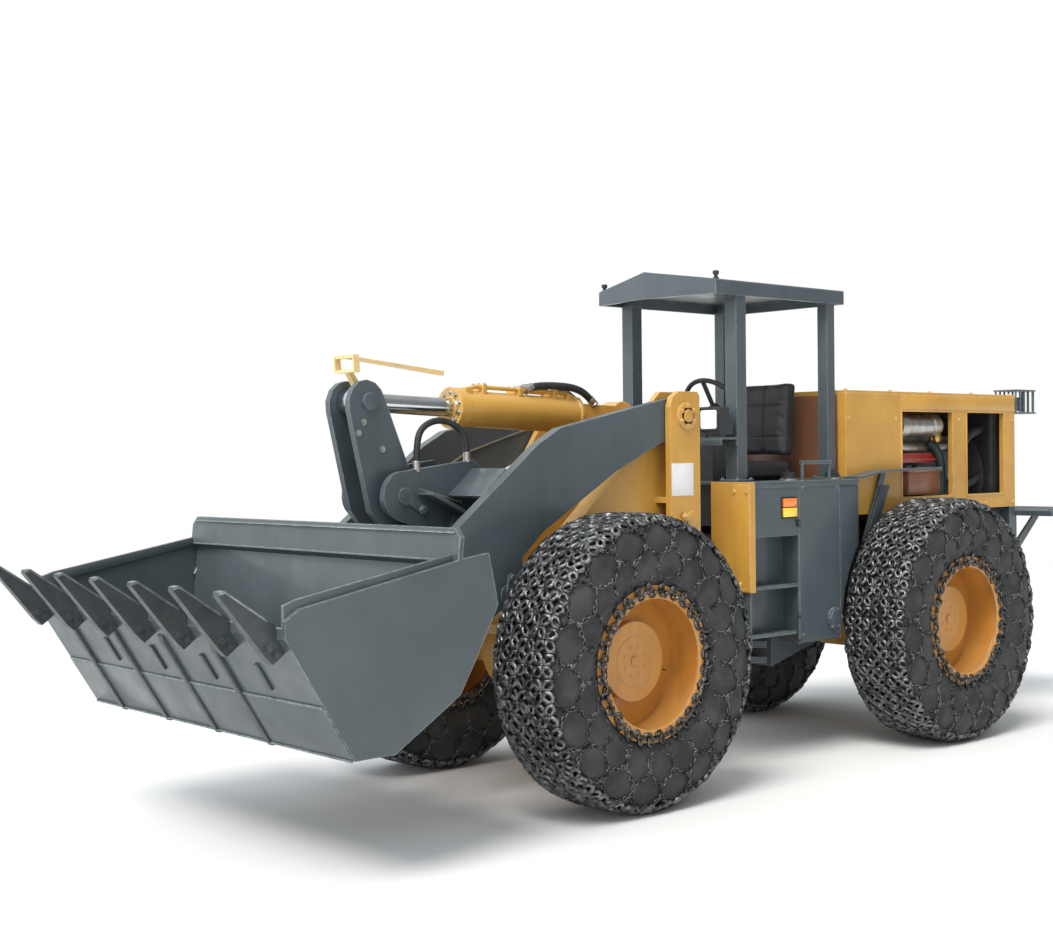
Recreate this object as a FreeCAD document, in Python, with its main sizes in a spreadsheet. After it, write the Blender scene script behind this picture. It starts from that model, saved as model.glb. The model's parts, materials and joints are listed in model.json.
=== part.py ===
import FreeCAD, Part
import math
import os
import Sketcher
from FreeCAD import Placement, Rotation, Vector

# Articulated underground loader with a roll-back bucket.
# X runs forward, Y to the left, Z up, in millimetres. Every sub-part is drawn in
# machine coordinates, with X counted from the rear axle, and is then shifted by
# OriginToRearAxle, so that the document's origin lies under the machine's middle.

DRIVING_SIZES = (
    # overall layout
    ("OriginToRearAxle", -1273.0),
    ("WheelBase", 2294.0),
    ("HingeToRearAxle", 1147.0),
    ("RunningFit", 0.05),
    ("SideGap", 5.0),
    ("SeatGap", 0.3),
    # wheels
    ("TyreRadius", 620.0),
    ("TyreHalfWidth", 205.0),
    ("WheelTrack", 1320.0),
    ("RimFlangeRadius", 324.0),
    ("RimHalfWidth", 155.0),
    ("RimWall", 14.0),
    ("HubRadius", 161.0),
    ("HubFaceOffset", 43.0),
    ("SpindleRadius", 75.0),
    # axles
    ("AxleTubeRadius", 85.0),
    ("DifferentialRadius", 190.0),
    ("BrakeRadius", 150.0),
    ("ShaftRadius", 34.0),
    # front frame and tower
    ("PlateThickness", 30.0),
    ("InnerPlateFace", 355.0),
    ("OuterPlateFace", 450.0),
    ("TowerRearX", 1600.0),
    ("TowerTopZ", 1762.0),
    ("TowerFootZ", 1010.0),
    ("BoomPivotX", 1690.0),
    ("BoomPivotZ", 1651.0),
    ("BoomPinRadius", 40.0),
    ("FrameRearX", 1290.0),
    ("NeckHalfWidth", 140.0),
    ("FrameShoulderZ", 1290.0),
    ("FrameBottomZ", 440.0),
    ("HingePinRadius", 42.0),
    ("HingeLugThickness", 44.0),
    ("UpperHingeZ", 1030.0),
    ("LowerHingeZ", 500.0),
    ("HingeLugRadius", 95.0),
    # lift arms
    ("ArmSideGap", 5.0),
    ("ArmThickness", 50.0),
    ("ArmBossRadius", 95.0),
    ("BucketPivotX", 3503.0),
    ("BucketPivotZ", 440.0),
    ("ArmNoseRadius", 88.0),
    ("BucketPinRadius", 35.0),
    ("CrossTubeX", 2745.0),
    ("CrossTubeZ", 1155.0),
    ("CrossTubeRadius", 85.0),
    ("LiftEyeX", 2733.0),
    ("LiftEyeZ", 909.0),
    ("LiftBaseX", 1540.0),
    ("LiftBaseZ", 680.0),
    ("LiftY", 200.0),
    ("LiftBarrelRadius", 55.0),
    ("LiftRodRadius", 32.0),
    ("EyeRadius", 50.0),
    ("EyeWidth", 60.0),
    ("LugThickness", 20.0),
    ("LiftCheekThickness", 16.0),
    # bucket linkage
    ("CrankPivotX", 3060.0),
    ("CrankPivotZ", 1318.0),
    ("CrankTopX", 3185.0),
    ("CrankTopZ", 1707.0),
    ("CrankFootX", 2700.0),
    ("CrankFootZ", 789.0),
    ("LinkPinX", 3318.0),
    ("LinkPinZ", 437.0),
    ("CrankInnerFace", 55.0),
    ("CrankThickness", 30.0),
    ("SupportInnerFace", 120.0),
    ("SupportNoseRadius", 103.0),
    ("CrankPinRadius", 35.0),
    ("TiltBarrelRadius", 80.0),
    ("TiltRodRadius", 40.0),
    ("TiltCapX", 1965.0),
    ("TiltGlandX", 2700.0),
    # bucket
    ("BucketWidth", 1888.0),
    ("BucketWall", 20.0),
    ("ToothReach", 212.0),
    ("ToothRise", 165.0),
    ("ToothWidth", 36.0),
    # rear frame
    ("RailInnerFace", 300.0),
    ("RailThickness", 30.0),
    ("RailBottomZ", 705.3),
    ("RailTopZ", 950.0),
    ("RailRearX", -1120.0),
    ("RailFrontX", 960.0),
    ("SteerBaseX", 600.0),
    ("SteerY", 185.0),
    ("SteerEyeX", 1174.0),
    ("SteerEyeY", 200.0),
    ("SteerZ", 800.0),
    ("SteerBarrelRadius", 38.0),
    ("SteerRodRadius", 20.0),
    # operator station
    ("DeckTopZ", 1345.0),
    ("DeckThickness", 12.0),
    ("DeckHalfWidth", 520.0),
    ("DeckFrontX", 1335.0),
    ("DeckRearX", 500.0),
    ("WellHalfWidth", 300.0),
    ("WellFrontX", 1180.0),
    ("WellRearX", 520.0),
    ("FloorZ", 1140.0),
    ("TankFrontX", 969.0),
    ("StepBackY", 405.0),
    ("TankRearX", 655.0),
    ("TankBottomZ", 560.0),
    ("ApronBottomZ", 830.0),
    ("ApronInnerY", 290.0),
    ("ApronOuterY", 530.0),
    ("TopStepZ", 1092.0),
    ("PostSpread", 345.0),
    ("FrontPostX", 1225.0),
    ("RearPostX", 530.0),
    ("FrontPostSize", 70.0),
    ("RearPostSize", 60.0),
    ("RoofBottomZ", 2228.0),
    ("RoofTopZ", 2297.0),
    ("RoofCrestZ", 2357.0),
    ("RoofHalfWidth", 390.0),
    ("RoofFrontX", 1412.0),
    ("RoofNoseX", 1490.0),
    ("RoofRearX", 440.0),
    # engine bay
    ("EngineBottomZ", 830.0),
    ("GearboxBottomZ", 870.0),
    ("BonnetFrontX", 470.0),
    ("BonnetRearX", -1107.0),
    ("BonnetHalfWidth", 420.0),
    ("BonnetTopZ", 1780.0),
    ("BonnetBottomZ", 1160.0),
    ("BonnetWall", 24.0),
    ("WindowTopZ", 1690.0),
    ("WindowBottomZ", 1240.0),
    ("RearEndX", -1750.0),
    ("WeightRearX", -1262.0),
    ("WeightHalfWidth", 360.0),
    ("PlatformTopZ", 1135.0),
    ("PlatformHalfWidth", 640.0),
)


class Size:
    """A length that knows its value and the spreadsheet expression behind it."""

    def __init__(self, value, text):
        self.value = float(value)
        self.text = text

    def __add__(self, other):
        other = as_size(other)
        return Size(self.value + other.value, f"({self.text} + {other.text})")

    def __sub__(self, other):
        other = as_size(other)
        return Size(self.value - other.value, f"({self.text} - {other.text})")

    def __mul__(self, other):
        other = as_size(other)
        return Size(self.value * other.value, f"({self.text} * {other.text})")

    def __truediv__(self, other):
        other = as_size(other)
        return Size(self.value / other.value, f"({self.text} / {other.text})")

    def __neg__(self):
        return Size(-self.value, f"(0 - {self.text})")

    def __radd__(self, other):
        return as_size(other) + self

    def __rsub__(self, other):
        return as_size(other) - self

    def __rmul__(self, other):
        return as_size(other) * self


def as_size(value):
    """Wrap a plain number; a negative one is written as a difference."""
    if isinstance(value, Size):
        return value
    return Size(value, f"{value}" if value >= 0 else f"(0 - {-value})")


doc = FreeCAD.newDocument("UndergroundLoader")
sheet = doc.addObject("Spreadsheet::Sheet", "Sizes")


class Sizes:
    """One attribute per driving size."""


S = Sizes()
for row, (alias, amount) in enumerate(DRIVING_SIZES, start=1):
    sheet.set(f"A{row}", alias)
    sheet.set(f"B{row}", str(amount))
    sheet.setAlias(f"B{row}", alias)
    setattr(S, alias, Size(amount, f"Sizes.{alias}"))
doc.recompute()

# The arms hang inside the outer tower plates, whatever their thickness.
S.ArmOuterFace = S.OuterPlateFace - S.PlateThickness - S.ArmSideGap

PIECES = []


def larger(one, other):
    """The greater of two sizes."""
    one, other = as_size(one), as_size(other)
    return Size(max(one.value, other.value), f"max({one.text}; {other.text})")


def bind(item, prop, size):
    """Tie one property of an object to the spreadsheet."""
    item.setExpression(prop, as_size(size).text)


class Piece:
    """One sub-part: a PartDesign body with sketch-based features."""

    def __init__(self, node, at=(0, 0, 0)):
        self.node = node
        self.body = doc.addObject("PartDesign::Body", "Body_" + node)
        self.body.Label = node
        self.body.AllowCompound = True
        bind(self.body, "Placement.Base.x", S.OriginToRearAxle + at[0])
        bind(self.body, "Placement.Base.y", at[1])
        bind(self.body, "Placement.Base.z", at[2])
        self.count = 0
        PIECES.append(self.body)

    def plane(self, role):
        planes = {item.Role: item for item in self.body.Origin.OriginFeatures}
        return planes[role]

    def sketch(self, role, offset=0):
        """An empty sketch on one of the body's origin planes, moved along its normal."""
        self.count += 1
        sketch = self.body.newObject("Sketcher::SketchObject", f"Sketch_{self.node}_{self.count}")
        sketch.AttachmentSupport = [(self.plane(role), "")]
        sketch.MapMode = "FlatFace"
        bind(sketch, "AttachmentOffset.Base.z", offset)
        return sketch

    def polygon(self, sketch, points):
        """A closed outline whose corners are all tied to the spreadsheet."""
        points = [(as_size(u), as_size(v)) for u, v in points]
        first = sketch.GeometryCount
        total = len(points)
        for index, (u, v) in enumerate(points):
            after = points[(index + 1) % total]
            start = Vector(u.value, v.value, 0)
            end = Vector(after[0].value, after[1].value, 0)
            sketch.addGeometry(Part.LineSegment(start, end), False)
        for index in range(total):
            line, following = first + index, first + (index + 1) % total
            sketch.addConstraint(Sketcher.Constraint("Coincident", line, 2, following, 1))
        for index, (u, v) in enumerate(points):
            self.fix(sketch, first + index, 1, u, v)

    def circle(self, sketch, u, v, radius):
        """A circle with its centre and radius tied to the spreadsheet."""
        u, v, radius = as_size(u), as_size(v), as_size(radius)
        centre = Vector(u.value, v.value, 0)
        index = sketch.addGeometry(Part.Circle(centre, Vector(0, 0, 1), radius.value), False)
        self.fix(sketch, index, 3, u, v)
        number = sketch.addConstraint(Sketcher.Constraint("Radius", index, radius.value))
        bind(sketch, f"Constraints[{number}]", radius)

    def fix(self, sketch, geometry, point, u, v):
        for kind, size in (("DistanceX", u), ("DistanceY", v)):
            rule = Sketcher.Constraint(kind, -1, 1, geometry, point, size.value)
            number = sketch.addConstraint(rule)
            bind(sketch, f"Constraints[{number}]", size)

    def draw(self, sketch, loops):
        for loop in loops:
            if len(loop) == 3 and not isinstance(loop[0], tuple):
                self.circle(sketch, *loop)
            else:
                self.polygon(sketch, loop)

    def extrude(self, kind, role, low, high, loops):
        """Pad or pocket between two positions along the plane's own world axis."""
        low, high = as_size(low), as_size(high)
        # The XZ plane's normal points to the right, against Y.
        offset = -high if role == "XZ_Plane" else low
        if kind == "Pocket":
            offset = -low if role == "XZ_Plane" else high
        sketch = self.sketch(role, offset)
        self.draw(sketch, loops)
        feature = self.body.newObject("PartDesign::" + kind, f"{kind}_{self.node}_{self.count}")
        feature.Profile = sketch
        bind(feature, "Length", high - low)
        self.body.Tip = feature
        return feature

    def side(self, low, high, *loops):
        """Material between Y = low and Y = high, drawn as (X, Z)."""
        return self.extrude("Pad", "XZ_Plane", low, high, loops)

    def plan(self, low, high, *loops):
        """Material between Z = low and Z = high, drawn as (X, Y)."""
        return self.extrude("Pad", "XY_Plane", low, high, loops)

    def front(self, low, high, *loops):
        """Material between X = low and X = high, drawn as (Y, Z)."""
        return self.extrude("Pad", "YZ_Plane", low, high, loops)

    def cut_side(self, low, high, *loops):
        return self.extrude("Pocket", "XZ_Plane", low, high, loops)

    def cut_plan(self, low, high, *loops):
        return self.extrude("Pocket", "XY_Plane", low, high, loops)

    def cut_front(self, low, high, *loops):
        return self.extrude("Pocket", "YZ_Plane", low, high, loops)

    def revolve(self, *loops):
        """Turn (radius, width) outlines about the body's own Y axis."""
        sketch = self.sketch("XY_Plane")
        self.draw(sketch, loops)
        feature = self.body.newObject("PartDesign::Revolution", f"Revolution_{self.node}_{self.count}")
        feature.Profile = sketch
        feature.ReferenceAxis = (sketch, ["V_Axis"])
        feature.Angle = 360
        self.body.Tip = feature
        return feature

    def turn(self, *loops):
        """Turn (length, radius) outlines about the body's own X axis."""
        sketch = self.sketch("XZ_Plane")
        self.draw(sketch, loops)
        feature = self.body.newObject("PartDesign::Revolution", f"Revolution_{self.node}_{self.count}")
        feature.Profile = sketch
        feature.ReferenceAxis = (sketch, ["H_Axis"])
        feature.Angle = 360
        self.body.Tip = feature
        return feature

    def aim(self, from_x, from_z, to_x, to_z):
        """Tilt the body about Y so that its X axis points from one pin to the other."""
        rise, run = to_z - from_z, to_x - from_x
        self.body.Placement.Rotation = Rotation(Vector(0, 1, 0), 0)
        self.body.setExpression("Placement.Rotation.Axis.y", "1")
        self.body.setExpression("Placement.Rotation.Axis.z", "0")
        self.body.setExpression("Placement.Rotation.Angle", f"-atan({rise.text} / {run.text})")


def box(x_low, x_high, z_low, z_high):
    """A rectangle as four corners."""
    return ((x_low, z_low), (x_high, z_low), (x_high, z_high), (x_low, z_high))


def strap(x_one, z_one, x_two, z_two, half):
    """A straight bar's outline between two pins, its ends left for round bosses."""
    run = as_size(x_two).value - as_size(x_one).value
    rise = as_size(z_two).value - as_size(z_one).value
    length = math.hypot(run, rise)
    across, up = -rise / length, run / length
    return (
        (x_one + half * across, z_one + half * up),
        (x_two + half * across, z_two + half * up),
        (x_two - half * across, z_two - half * up),
        (x_one - half * across, z_one - half * up),
    )


def ordered(side, inner, outer):
    """Low and high Y of a plate on the left (1) or right (-1)."""
    return (inner, outer) if side > 0 else (-as_size(outer), -as_size(inner))


# ---------------------------------------------------------------- wheels

def tyre(node, wheel_x, side):
    """A wide tyre: tall sidewalls and a square shoulder, to the outside of its chain."""
    piece = Piece(node, (wheel_x, side * S.WheelTrack / 2, S.TyreRadius))
    half, bead = S.TyreHalfWidth, S.RimFlangeRadius + 2
    seat = S.RimFlangeRadius - 22.5
    inner = S.RimHalfWidth - 16.5
    crown = S.TyreRadius
    right = (
        (seat, inner), (bead, inner + 3.5), (bead, inner + 33), (bead + 80, half - 4), (bead + 150, half),
        (bead + 205, half - 6), (crown - 40, half - 20), (crown - 12, half - 48), (crown, half - 85),
    )
    left = tuple((radius, -width) for radius, width in reversed(right))
    piece.revolve(right + left)
    return piece


def rim(node, wheel_x, side):
    """A deep-dished rim: two flanges, a smooth drop well and a flat-faced hub drum."""
    piece = Piece(node, (wheel_x, side * S.WheelTrack / 2, S.TyreRadius))
    flange, half, wall = S.RimFlangeRadius, S.RimHalfWidth, S.RimWall
    seat = flange - 23
    well = seat - wall
    piece.revolve((
        (well, side * half), (flange, side * half), (flange, side * (half - 12)),
        (seat, side * (half - 16)), (seat, -side * (half - 16)), (flange, -side * (half - 12)),
        (flange, -side * half), (well, -side * half),
    ))
    bore = S.SpindleRadius + S.RunningFit
    back, bore_end = side * as_size(-38), side * (S.HubFaceOffset - 11)
    piece.revolve((
        (bore, back), (S.HubRadius - 32, back), (S.HubRadius - 8, side * as_size(-26)),
        (well + 2, side * as_size(-38)), (well + 2, side * as_size(-16)),
        (S.HubRadius, side * as_size(-6)), (S.HubRadius, side * (S.HubFaceOffset - 8)),
        (S.HubRadius - 8, side * S.HubFaceOffset), (as_size(0), side * S.HubFaceOffset),
        (as_size(0), bore_end), (bore, bore_end),
    ))
    return piece


def axle(node, wheel_x, nose):
    """A drive axle: differential housing, tubes, brake housings and spindles."""
    piece = Piece(node, (wheel_x, 0, S.TyreRadius))
    end = S.WheelTrack / 2
    brake_out = end - 38 - S.SideGap
    piece.revolve((
        (as_size(0), -(end + 26)), (S.SpindleRadius, -(end + 26)), (S.SpindleRadius, -brake_out),
        (S.BrakeRadius, -brake_out), (S.BrakeRadius, -(end - 185)), (S.AxleTubeRadius, -(end - 215)),
        (S.AxleTubeRadius, as_size(-178)), (S.DifferentialRadius - 30, as_size(-95)),
        (S.DifferentialRadius, as_size(-55)), (S.DifferentialRadius, as_size(55)),
        (S.DifferentialRadius - 30, as_size(95)), (S.AxleTubeRadius, as_size(178)),
        (S.AxleTubeRadius, end - 215), (S.BrakeRadius, end - 185), (S.BrakeRadius, brake_out),
        (S.SpindleRadius, brake_out), (S.SpindleRadius, end + 26), (as_size(0), end + 26),
    ))
    low, high = (as_size(0), as_size(300)) if nose > 0 else (as_size(-300), as_size(0))
    piece.front(low, high, (as_size(0), as_size(0), as_size(88)))
    low, high = (as_size(290), as_size(330)) if nose > 0 else (as_size(-330), as_size(-290))
    piece.front(low, high, (as_size(0), as_size(0), as_size(62)))
    return piece


# ---------------------------------------------------------------- front frame

def front_frame():
    """Twin-plate frame: a narrow neck with hinge lugs behind, boom towers on top."""
    piece = Piece("front_frame")
    inner_low = S.InnerPlateFace - S.PlateThickness
    outer_low = S.OuterPlateFace - S.PlateThickness
    axle_x, saddle_z = S.WheelBase, S.TyreRadius + S.AxleTubeRadius + S.SeatGap
    for side in (1, -1):
        low, high = ordered(side, inner_low, S.InnerPlateFace)
        piece.side(low, high, (
            (S.TowerRearX, S.FrameBottomZ + 60), (S.TowerRearX + 130, S.FrameBottomZ + 60),
            (S.TowerRearX + 260, saddle_z), (axle_x + 260, saddle_z), (axle_x + 330, saddle_z + 90),
            (axle_x + 255, saddle_z + 245), (S.BoomPivotX + 330, S.BoomPivotZ - 240),
            (S.BoomPivotX + 125, S.BoomPivotZ + 60), (S.BoomPivotX + 70, S.TowerTopZ),
            (S.TowerRearX + 15, S.TowerTopZ), (S.TowerRearX, S.TowerTopZ - 20),
        ))
        front_flange(piece, side)
        low, high = ordered(side, outer_low, S.OuterPlateFace)
        tower_front = S.BoomPivotX + 105
        piece.side(low, high, (
            (S.TowerRearX, S.TowerFootZ), (tower_front, S.TowerFootZ), (tower_front, S.TowerTopZ - 70),
            (tower_front - 18, S.TowerTopZ - 25), (tower_front - 60, S.TowerTopZ),
            (S.TowerRearX + 15, S.TowerTopZ), (S.TowerRearX, S.TowerTopZ - 20),
        ))
        low, high = ordered(side, S.InnerPlateFace, outer_low)
        piece.side(low, high, box(
            S.TowerRearX, tower_front, S.FrameShoulderZ - 30, S.FrameShoulderZ - 5))
        piece.side(low, high, box(
            S.TowerRearX, S.TowerRearX + 25, S.TowerFootZ, S.FrameShoulderZ - 5))
        low, high = ordered(side, inner_low, S.OuterPlateFace + 12)
        piece.side(low, high, (S.BoomPivotX, S.BoomPivotZ, S.BoomPinRadius))
        low, high = ordered(side, S.OuterPlateFace - 1, S.OuterPlateFace + 6)
        piece.side(low, high, (S.BoomPivotX, S.BoomPivotZ, S.BoomPinRadius + 22))
        low, high = ordered(side, S.NeckHalfWidth - S.PlateThickness, S.NeckHalfWidth)
        piece.side(low, high, (
            (S.FrameRearX, S.FrameBottomZ), (S.TowerRearX + 20, S.FrameBottomZ),
            (S.TowerRearX + 20, S.FrameShoulderZ - 20), (S.FrameRearX + 120, S.FrameShoulderZ - 80),
            (S.FrameRearX, S.UpperHingeZ + 70),
        ))
    piece.side(-inner_low, inner_low, (S.BoomPivotX, S.BoomPivotZ, S.BoomPinRadius))
    piece.front(S.FrameRearX, S.FrameRearX + S.PlateThickness, box(
        -S.NeckHalfWidth, S.NeckHalfWidth, S.FrameBottomZ, S.UpperHingeZ + 70))
    cross_plate(piece)
    piece.front(S.WheelBase + 215, S.WheelBase + 240, box(
        -inner_low, inner_low, saddle_z, saddle_z + 38))
    hinge_lug(piece, S.UpperHingeZ)
    hinge_lug(piece, S.LowerHingeZ)
    steer_lugs(piece)
    for side in (1, -1):
        lift_base(piece, side)
    return piece


def front_flange(piece, side):
    """The folded strip along a side plate's sloping front edge."""
    low, high = ordered(side, S.InnerPlateFace - 90, S.InnerPlateFace)
    saddle_z = S.TyreRadius + S.AxleTubeRadius + S.SeatGap
    piece.side(low, high, (
        (S.BoomPivotX + 330, S.BoomPivotZ - 240), (S.WheelBase + 255, saddle_z + 245),
        (S.WheelBase + 238, saddle_z + 226), (S.BoomPivotX + 313, S.BoomPivotZ - 259),
    ))


def cross_plate(piece):
    """The plate from tower to tower, open for the drive shaft and the two lift barrels."""
    face = S.TowerRearX + S.PlateThickness
    piece.front(S.TowerRearX, face, box(
        -S.InnerPlateFace, S.InnerPlateFace, S.FrameBottomZ, S.FrameShoulderZ))
    shaft = (as_size(0), S.TyreRadius, as_size(78))
    piece.cut_front(S.FrameRearX - 1, face + 1, shaft)
    for side in (1, -1):
        piece.cut_front(S.TowerRearX - 1, face + 1, box(
            side * (S.LiftY + 2) - 62, side * (S.LiftY + 2) + 62, S.LiftBaseZ - 70, S.LiftBaseZ + 215))


def lift_base(piece, side):
    """Bracket beside the neck that holds a lift cylinder's base eye between two cheeks."""
    near = S.LiftY - S.EyeWidth / 2 - S.SideGap
    far = S.LiftY + S.EyeWidth / 2 + S.SideGap
    back = S.LiftBaseX - S.EyeRadius - 2 * S.SideGap
    piece.front(back - 25, back, box(
        side * (S.NeckHalfWidth - 1), side * (far + S.LiftCheekThickness),
        S.LiftBaseZ - 70, S.LiftBaseZ + 70))
    low, high = ordered(side, far, far + S.LiftCheekThickness)
    piece.side(low, high, (
        (back - 25, S.LiftBaseZ - 70), (S.LiftBaseX + 30, S.LiftBaseZ - 40),
        (S.LiftBaseX + 30, S.LiftBaseZ + 40), (back - 25, S.LiftBaseZ + 70),
    ))
    low, high = ordered(side, S.NeckHalfWidth - 1, near)
    piece.side(low, high, (S.LiftBaseX, S.LiftBaseZ, as_size(46)))
    low, high = ordered(side, near - 1, far + 1)
    piece.side(low, high, (S.LiftBaseX, S.LiftBaseZ, S.CrankPinRadius - 5))


def hinge_lug(piece, middle):
    """One round-nosed lug around a hinge pin, with its running bore."""
    low, high = middle - S.HingeLugThickness / 2, middle + S.HingeLugThickness / 2
    reach = S.HingeToRearAxle
    piece.plan(low, high, (
        (reach, -S.HingeLugRadius), (S.FrameRearX + 5, -S.NeckHalfWidth),
        (S.FrameRearX + 5, S.NeckHalfWidth), (reach, S.HingeLugRadius),
    ))
    piece.plan(low, high, (reach, as_size(0), S.HingeLugRadius))
    piece.cut_plan(low - 1, high + 1, (reach, as_size(0), S.HingePinRadius + S.RunningFit))


def steer_lugs(piece):
    """Pairs of plates above and below each steering rod's eye."""
    half = S.EyeWidth / 2 + S.SideGap
    for side in (1, -1):
        for low, high in ((S.SteerZ + half, S.SteerZ + half + S.LugThickness),
                          (S.SteerZ - half - S.LugThickness, S.SteerZ - half)):
            piece.plan(low, high, (
                (S.SteerEyeX - 32, side * (S.SteerEyeY + 36)), (S.SteerEyeX + 36, side * (S.SteerEyeY + 36)),
                (S.FrameRearX + 40, side * (S.NeckHalfWidth - 10)),
                (S.FrameRearX - 1, side * (S.NeckHalfWidth - 60)), (S.SteerEyeX - 32, side * (S.SteerEyeY - 40)),
            ))


# ---------------------------------------------------------------- lift arms

def lift_arms():
    """Two cranked arm plates joined by a cross tube that carries the bellcrank supports."""
    piece = Piece("lift_arms")
    inner = S.ArmOuterFace - S.ArmThickness
    for side in (1, -1):
        low, high = ordered(side, inner, S.ArmOuterFace)
        piece.side(low, high, (
            (S.BoomPivotX, S.BoomPivotZ + 95), (S.BoomPivotX + 740, S.BoomPivotZ - 56),
            (S.BoomPivotX + 870, S.BoomPivotZ - 125), (S.BoomPivotX + 1310, S.BoomPivotZ - 462),
            (S.BucketPivotX - 298, S.BucketPivotZ + 480),
            (S.BucketPivotX - 125, S.BucketPivotZ + 180), (S.BucketPivotX + 40, S.BucketPivotZ + 70),
            (S.BucketPivotX - 62, S.BucketPivotZ - 60), (S.LiftEyeX + 50, S.LiftEyeZ - 66),
            (S.LiftEyeX - 72, S.LiftEyeZ), (S.LiftEyeX - 80, S.LiftEyeZ + 150),
            (S.LiftEyeX - 193, S.LiftEyeZ + 248), (S.BoomPivotX + 410, S.BoomPivotZ - 243),
            (S.BoomPivotX + 130, S.BoomPivotZ - 121), (S.BoomPivotX, S.BoomPivotZ - 95),
        ))
        piece.side(low, high, (S.BoomPivotX, S.BoomPivotZ, S.ArmBossRadius))
        piece.side(low, high, (S.BucketPivotX, S.BucketPivotZ, S.ArmNoseRadius))
        piece.side(low, high, (S.LiftEyeX, S.LiftEyeZ, as_size(72)))
        room = larger(S.EyeWidth / 2 + S.SideGap, S.LiftRodRadius + S.SideGap / 2)
        low, high = ordered(side, S.LiftY + room, inner)
        piece.side(low, high, (S.LiftEyeX, S.LiftEyeZ, S.EyeRadius))
        lug_out = S.LiftY - room
        low, high = ordered(side, lug_out - S.LugThickness, lug_out)
        piece.side(low, high, (
            (S.CrossTubeX - 80, S.CrossTubeZ), (S.LiftEyeX - 55, S.LiftEyeZ - 10),
            (S.LiftEyeX - 25, S.LiftEyeZ - 55), (S.LiftEyeX + 25, S.LiftEyeZ - 55),
            (S.LiftEyeX + 60, S.LiftEyeZ), (S.CrossTubeX + 80, S.CrossTubeZ),
        ))
        low, high = ordered(side, S.SupportInnerFace, S.SupportInnerFace + S.PlateThickness)
        piece.side(low, high, (
            (S.CrossTubeX - 40, S.CrossTubeZ - 60), (S.CrankPivotX + 36, S.CrankPivotZ - 96),
            (S.CrankPivotX, S.CrankPivotZ + 103), (S.CrossTubeX - 60, S.CrossTubeZ + 310),
            (S.CrossTubeX - 150, S.CrossTubeZ + 200), (S.CrossTubeX - 80, S.CrossTubeZ + 40),
        ))
        piece.side(low, high, (S.CrankPivotX, S.CrankPivotZ, S.SupportNoseRadius))
    piece.side(-inner, inner, (S.CrossTubeX, S.CrossTubeZ, S.CrossTubeRadius))
    reach = S.ArmOuterFace + 1
    piece.cut_side(-reach, reach, (S.BoomPivotX, S.BoomPivotZ, S.BoomPinRadius + S.RunningFit))
    piece.cut_side(-reach, reach, (S.BucketPivotX, S.BucketPivotZ, S.BucketPinRadius + S.RunningFit))
    reach = S.SupportInnerFace + S.PlateThickness + 1
    piece.cut_side(-reach, reach, (S.CrankPivotX, S.CrankPivotZ, S.CrankPinRadius + S.RunningFit))
    return piece


def bellcrank():
    """Two rocker plates with the pivot pin between the supports and a pin at the foot."""
    piece = Piece("bellcrank")
    inner, outer = S.CrankInnerFace, S.CrankInnerFace + S.CrankThickness
    for side in (1, -1):
        low, high = ordered(side, inner, outer)
        piece.side(low, high, (
            (S.CrankTopX - 80, S.CrankTopZ + 10), (S.CrankPivotX - 98, S.CrankPivotZ + 60),
            (S.CrankPivotX - 105, S.CrankPivotZ - 30), (S.CrankFootX - 48, S.CrankFootZ + 34),
            (S.CrankFootX + 50, S.CrankFootZ - 34), (S.CrankPivotX + 125, S.CrankPivotZ - 60),
            (S.CrankTopX + 96, S.CrankTopZ - 40), (S.CrankTopX + 98, S.CrankTopZ + 5),
            (S.CrankTopX + 80, S.CrankTopZ + 50), (S.CrankTopX + 48, S.CrankTopZ + 78),
            (S.CrankTopX + 8, S.CrankTopZ + 88), (S.CrankTopX - 32, S.CrankTopZ + 76),
            (S.CrankTopX - 62, S.CrankTopZ + 48),
        ))
        piece.side(low, high, (S.CrankFootX, S.CrankFootZ, as_size(62)))
        low, high = ordered(side, outer, S.SupportInnerFace - S.SeatGap)
        piece.side(low, high, (S.CrankPivotX, S.CrankPivotZ, S.CrankPinRadius + 25))
    reach = S.SupportInnerFace + S.PlateThickness + 10
    piece.side(-reach, reach, (S.CrankPivotX, S.CrankPivotZ, S.CrankPinRadius))
    piece.side(-outer - 8, outer + 8, (S.CrankFootX, S.CrankFootZ, S.CrankPinRadius - 5))
    for side in (1, -1):
        low, high = ordered(side, outer, outer + 12)
        piece.side(low, high, (S.CrankTopX, S.CrankTopZ, S.CrankPinRadius))
    return piece


def tilt_link():
    """The short link from the bellcrank's foot to the bucket."""
    piece = Piece("tilt_link")
    half = S.CrankInnerFace - S.SideGap
    piece.side(-half, half, strap(S.CrankFootX, S.CrankFootZ, S.LinkPinX, S.LinkPinZ, 42))
    piece.side(-half, half, (S.CrankFootX, S.CrankFootZ, as_size(56)))
    piece.side(-half, half, (S.LinkPinX, S.LinkPinZ, as_size(56)))
    piece.cut_side(-half - 1, half + 1, (S.CrankFootX, S.CrankFootZ, S.CrankPinRadius - 5 + S.RunningFit))
    return piece


# ---------------------------------------------------------------- bucket

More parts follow.
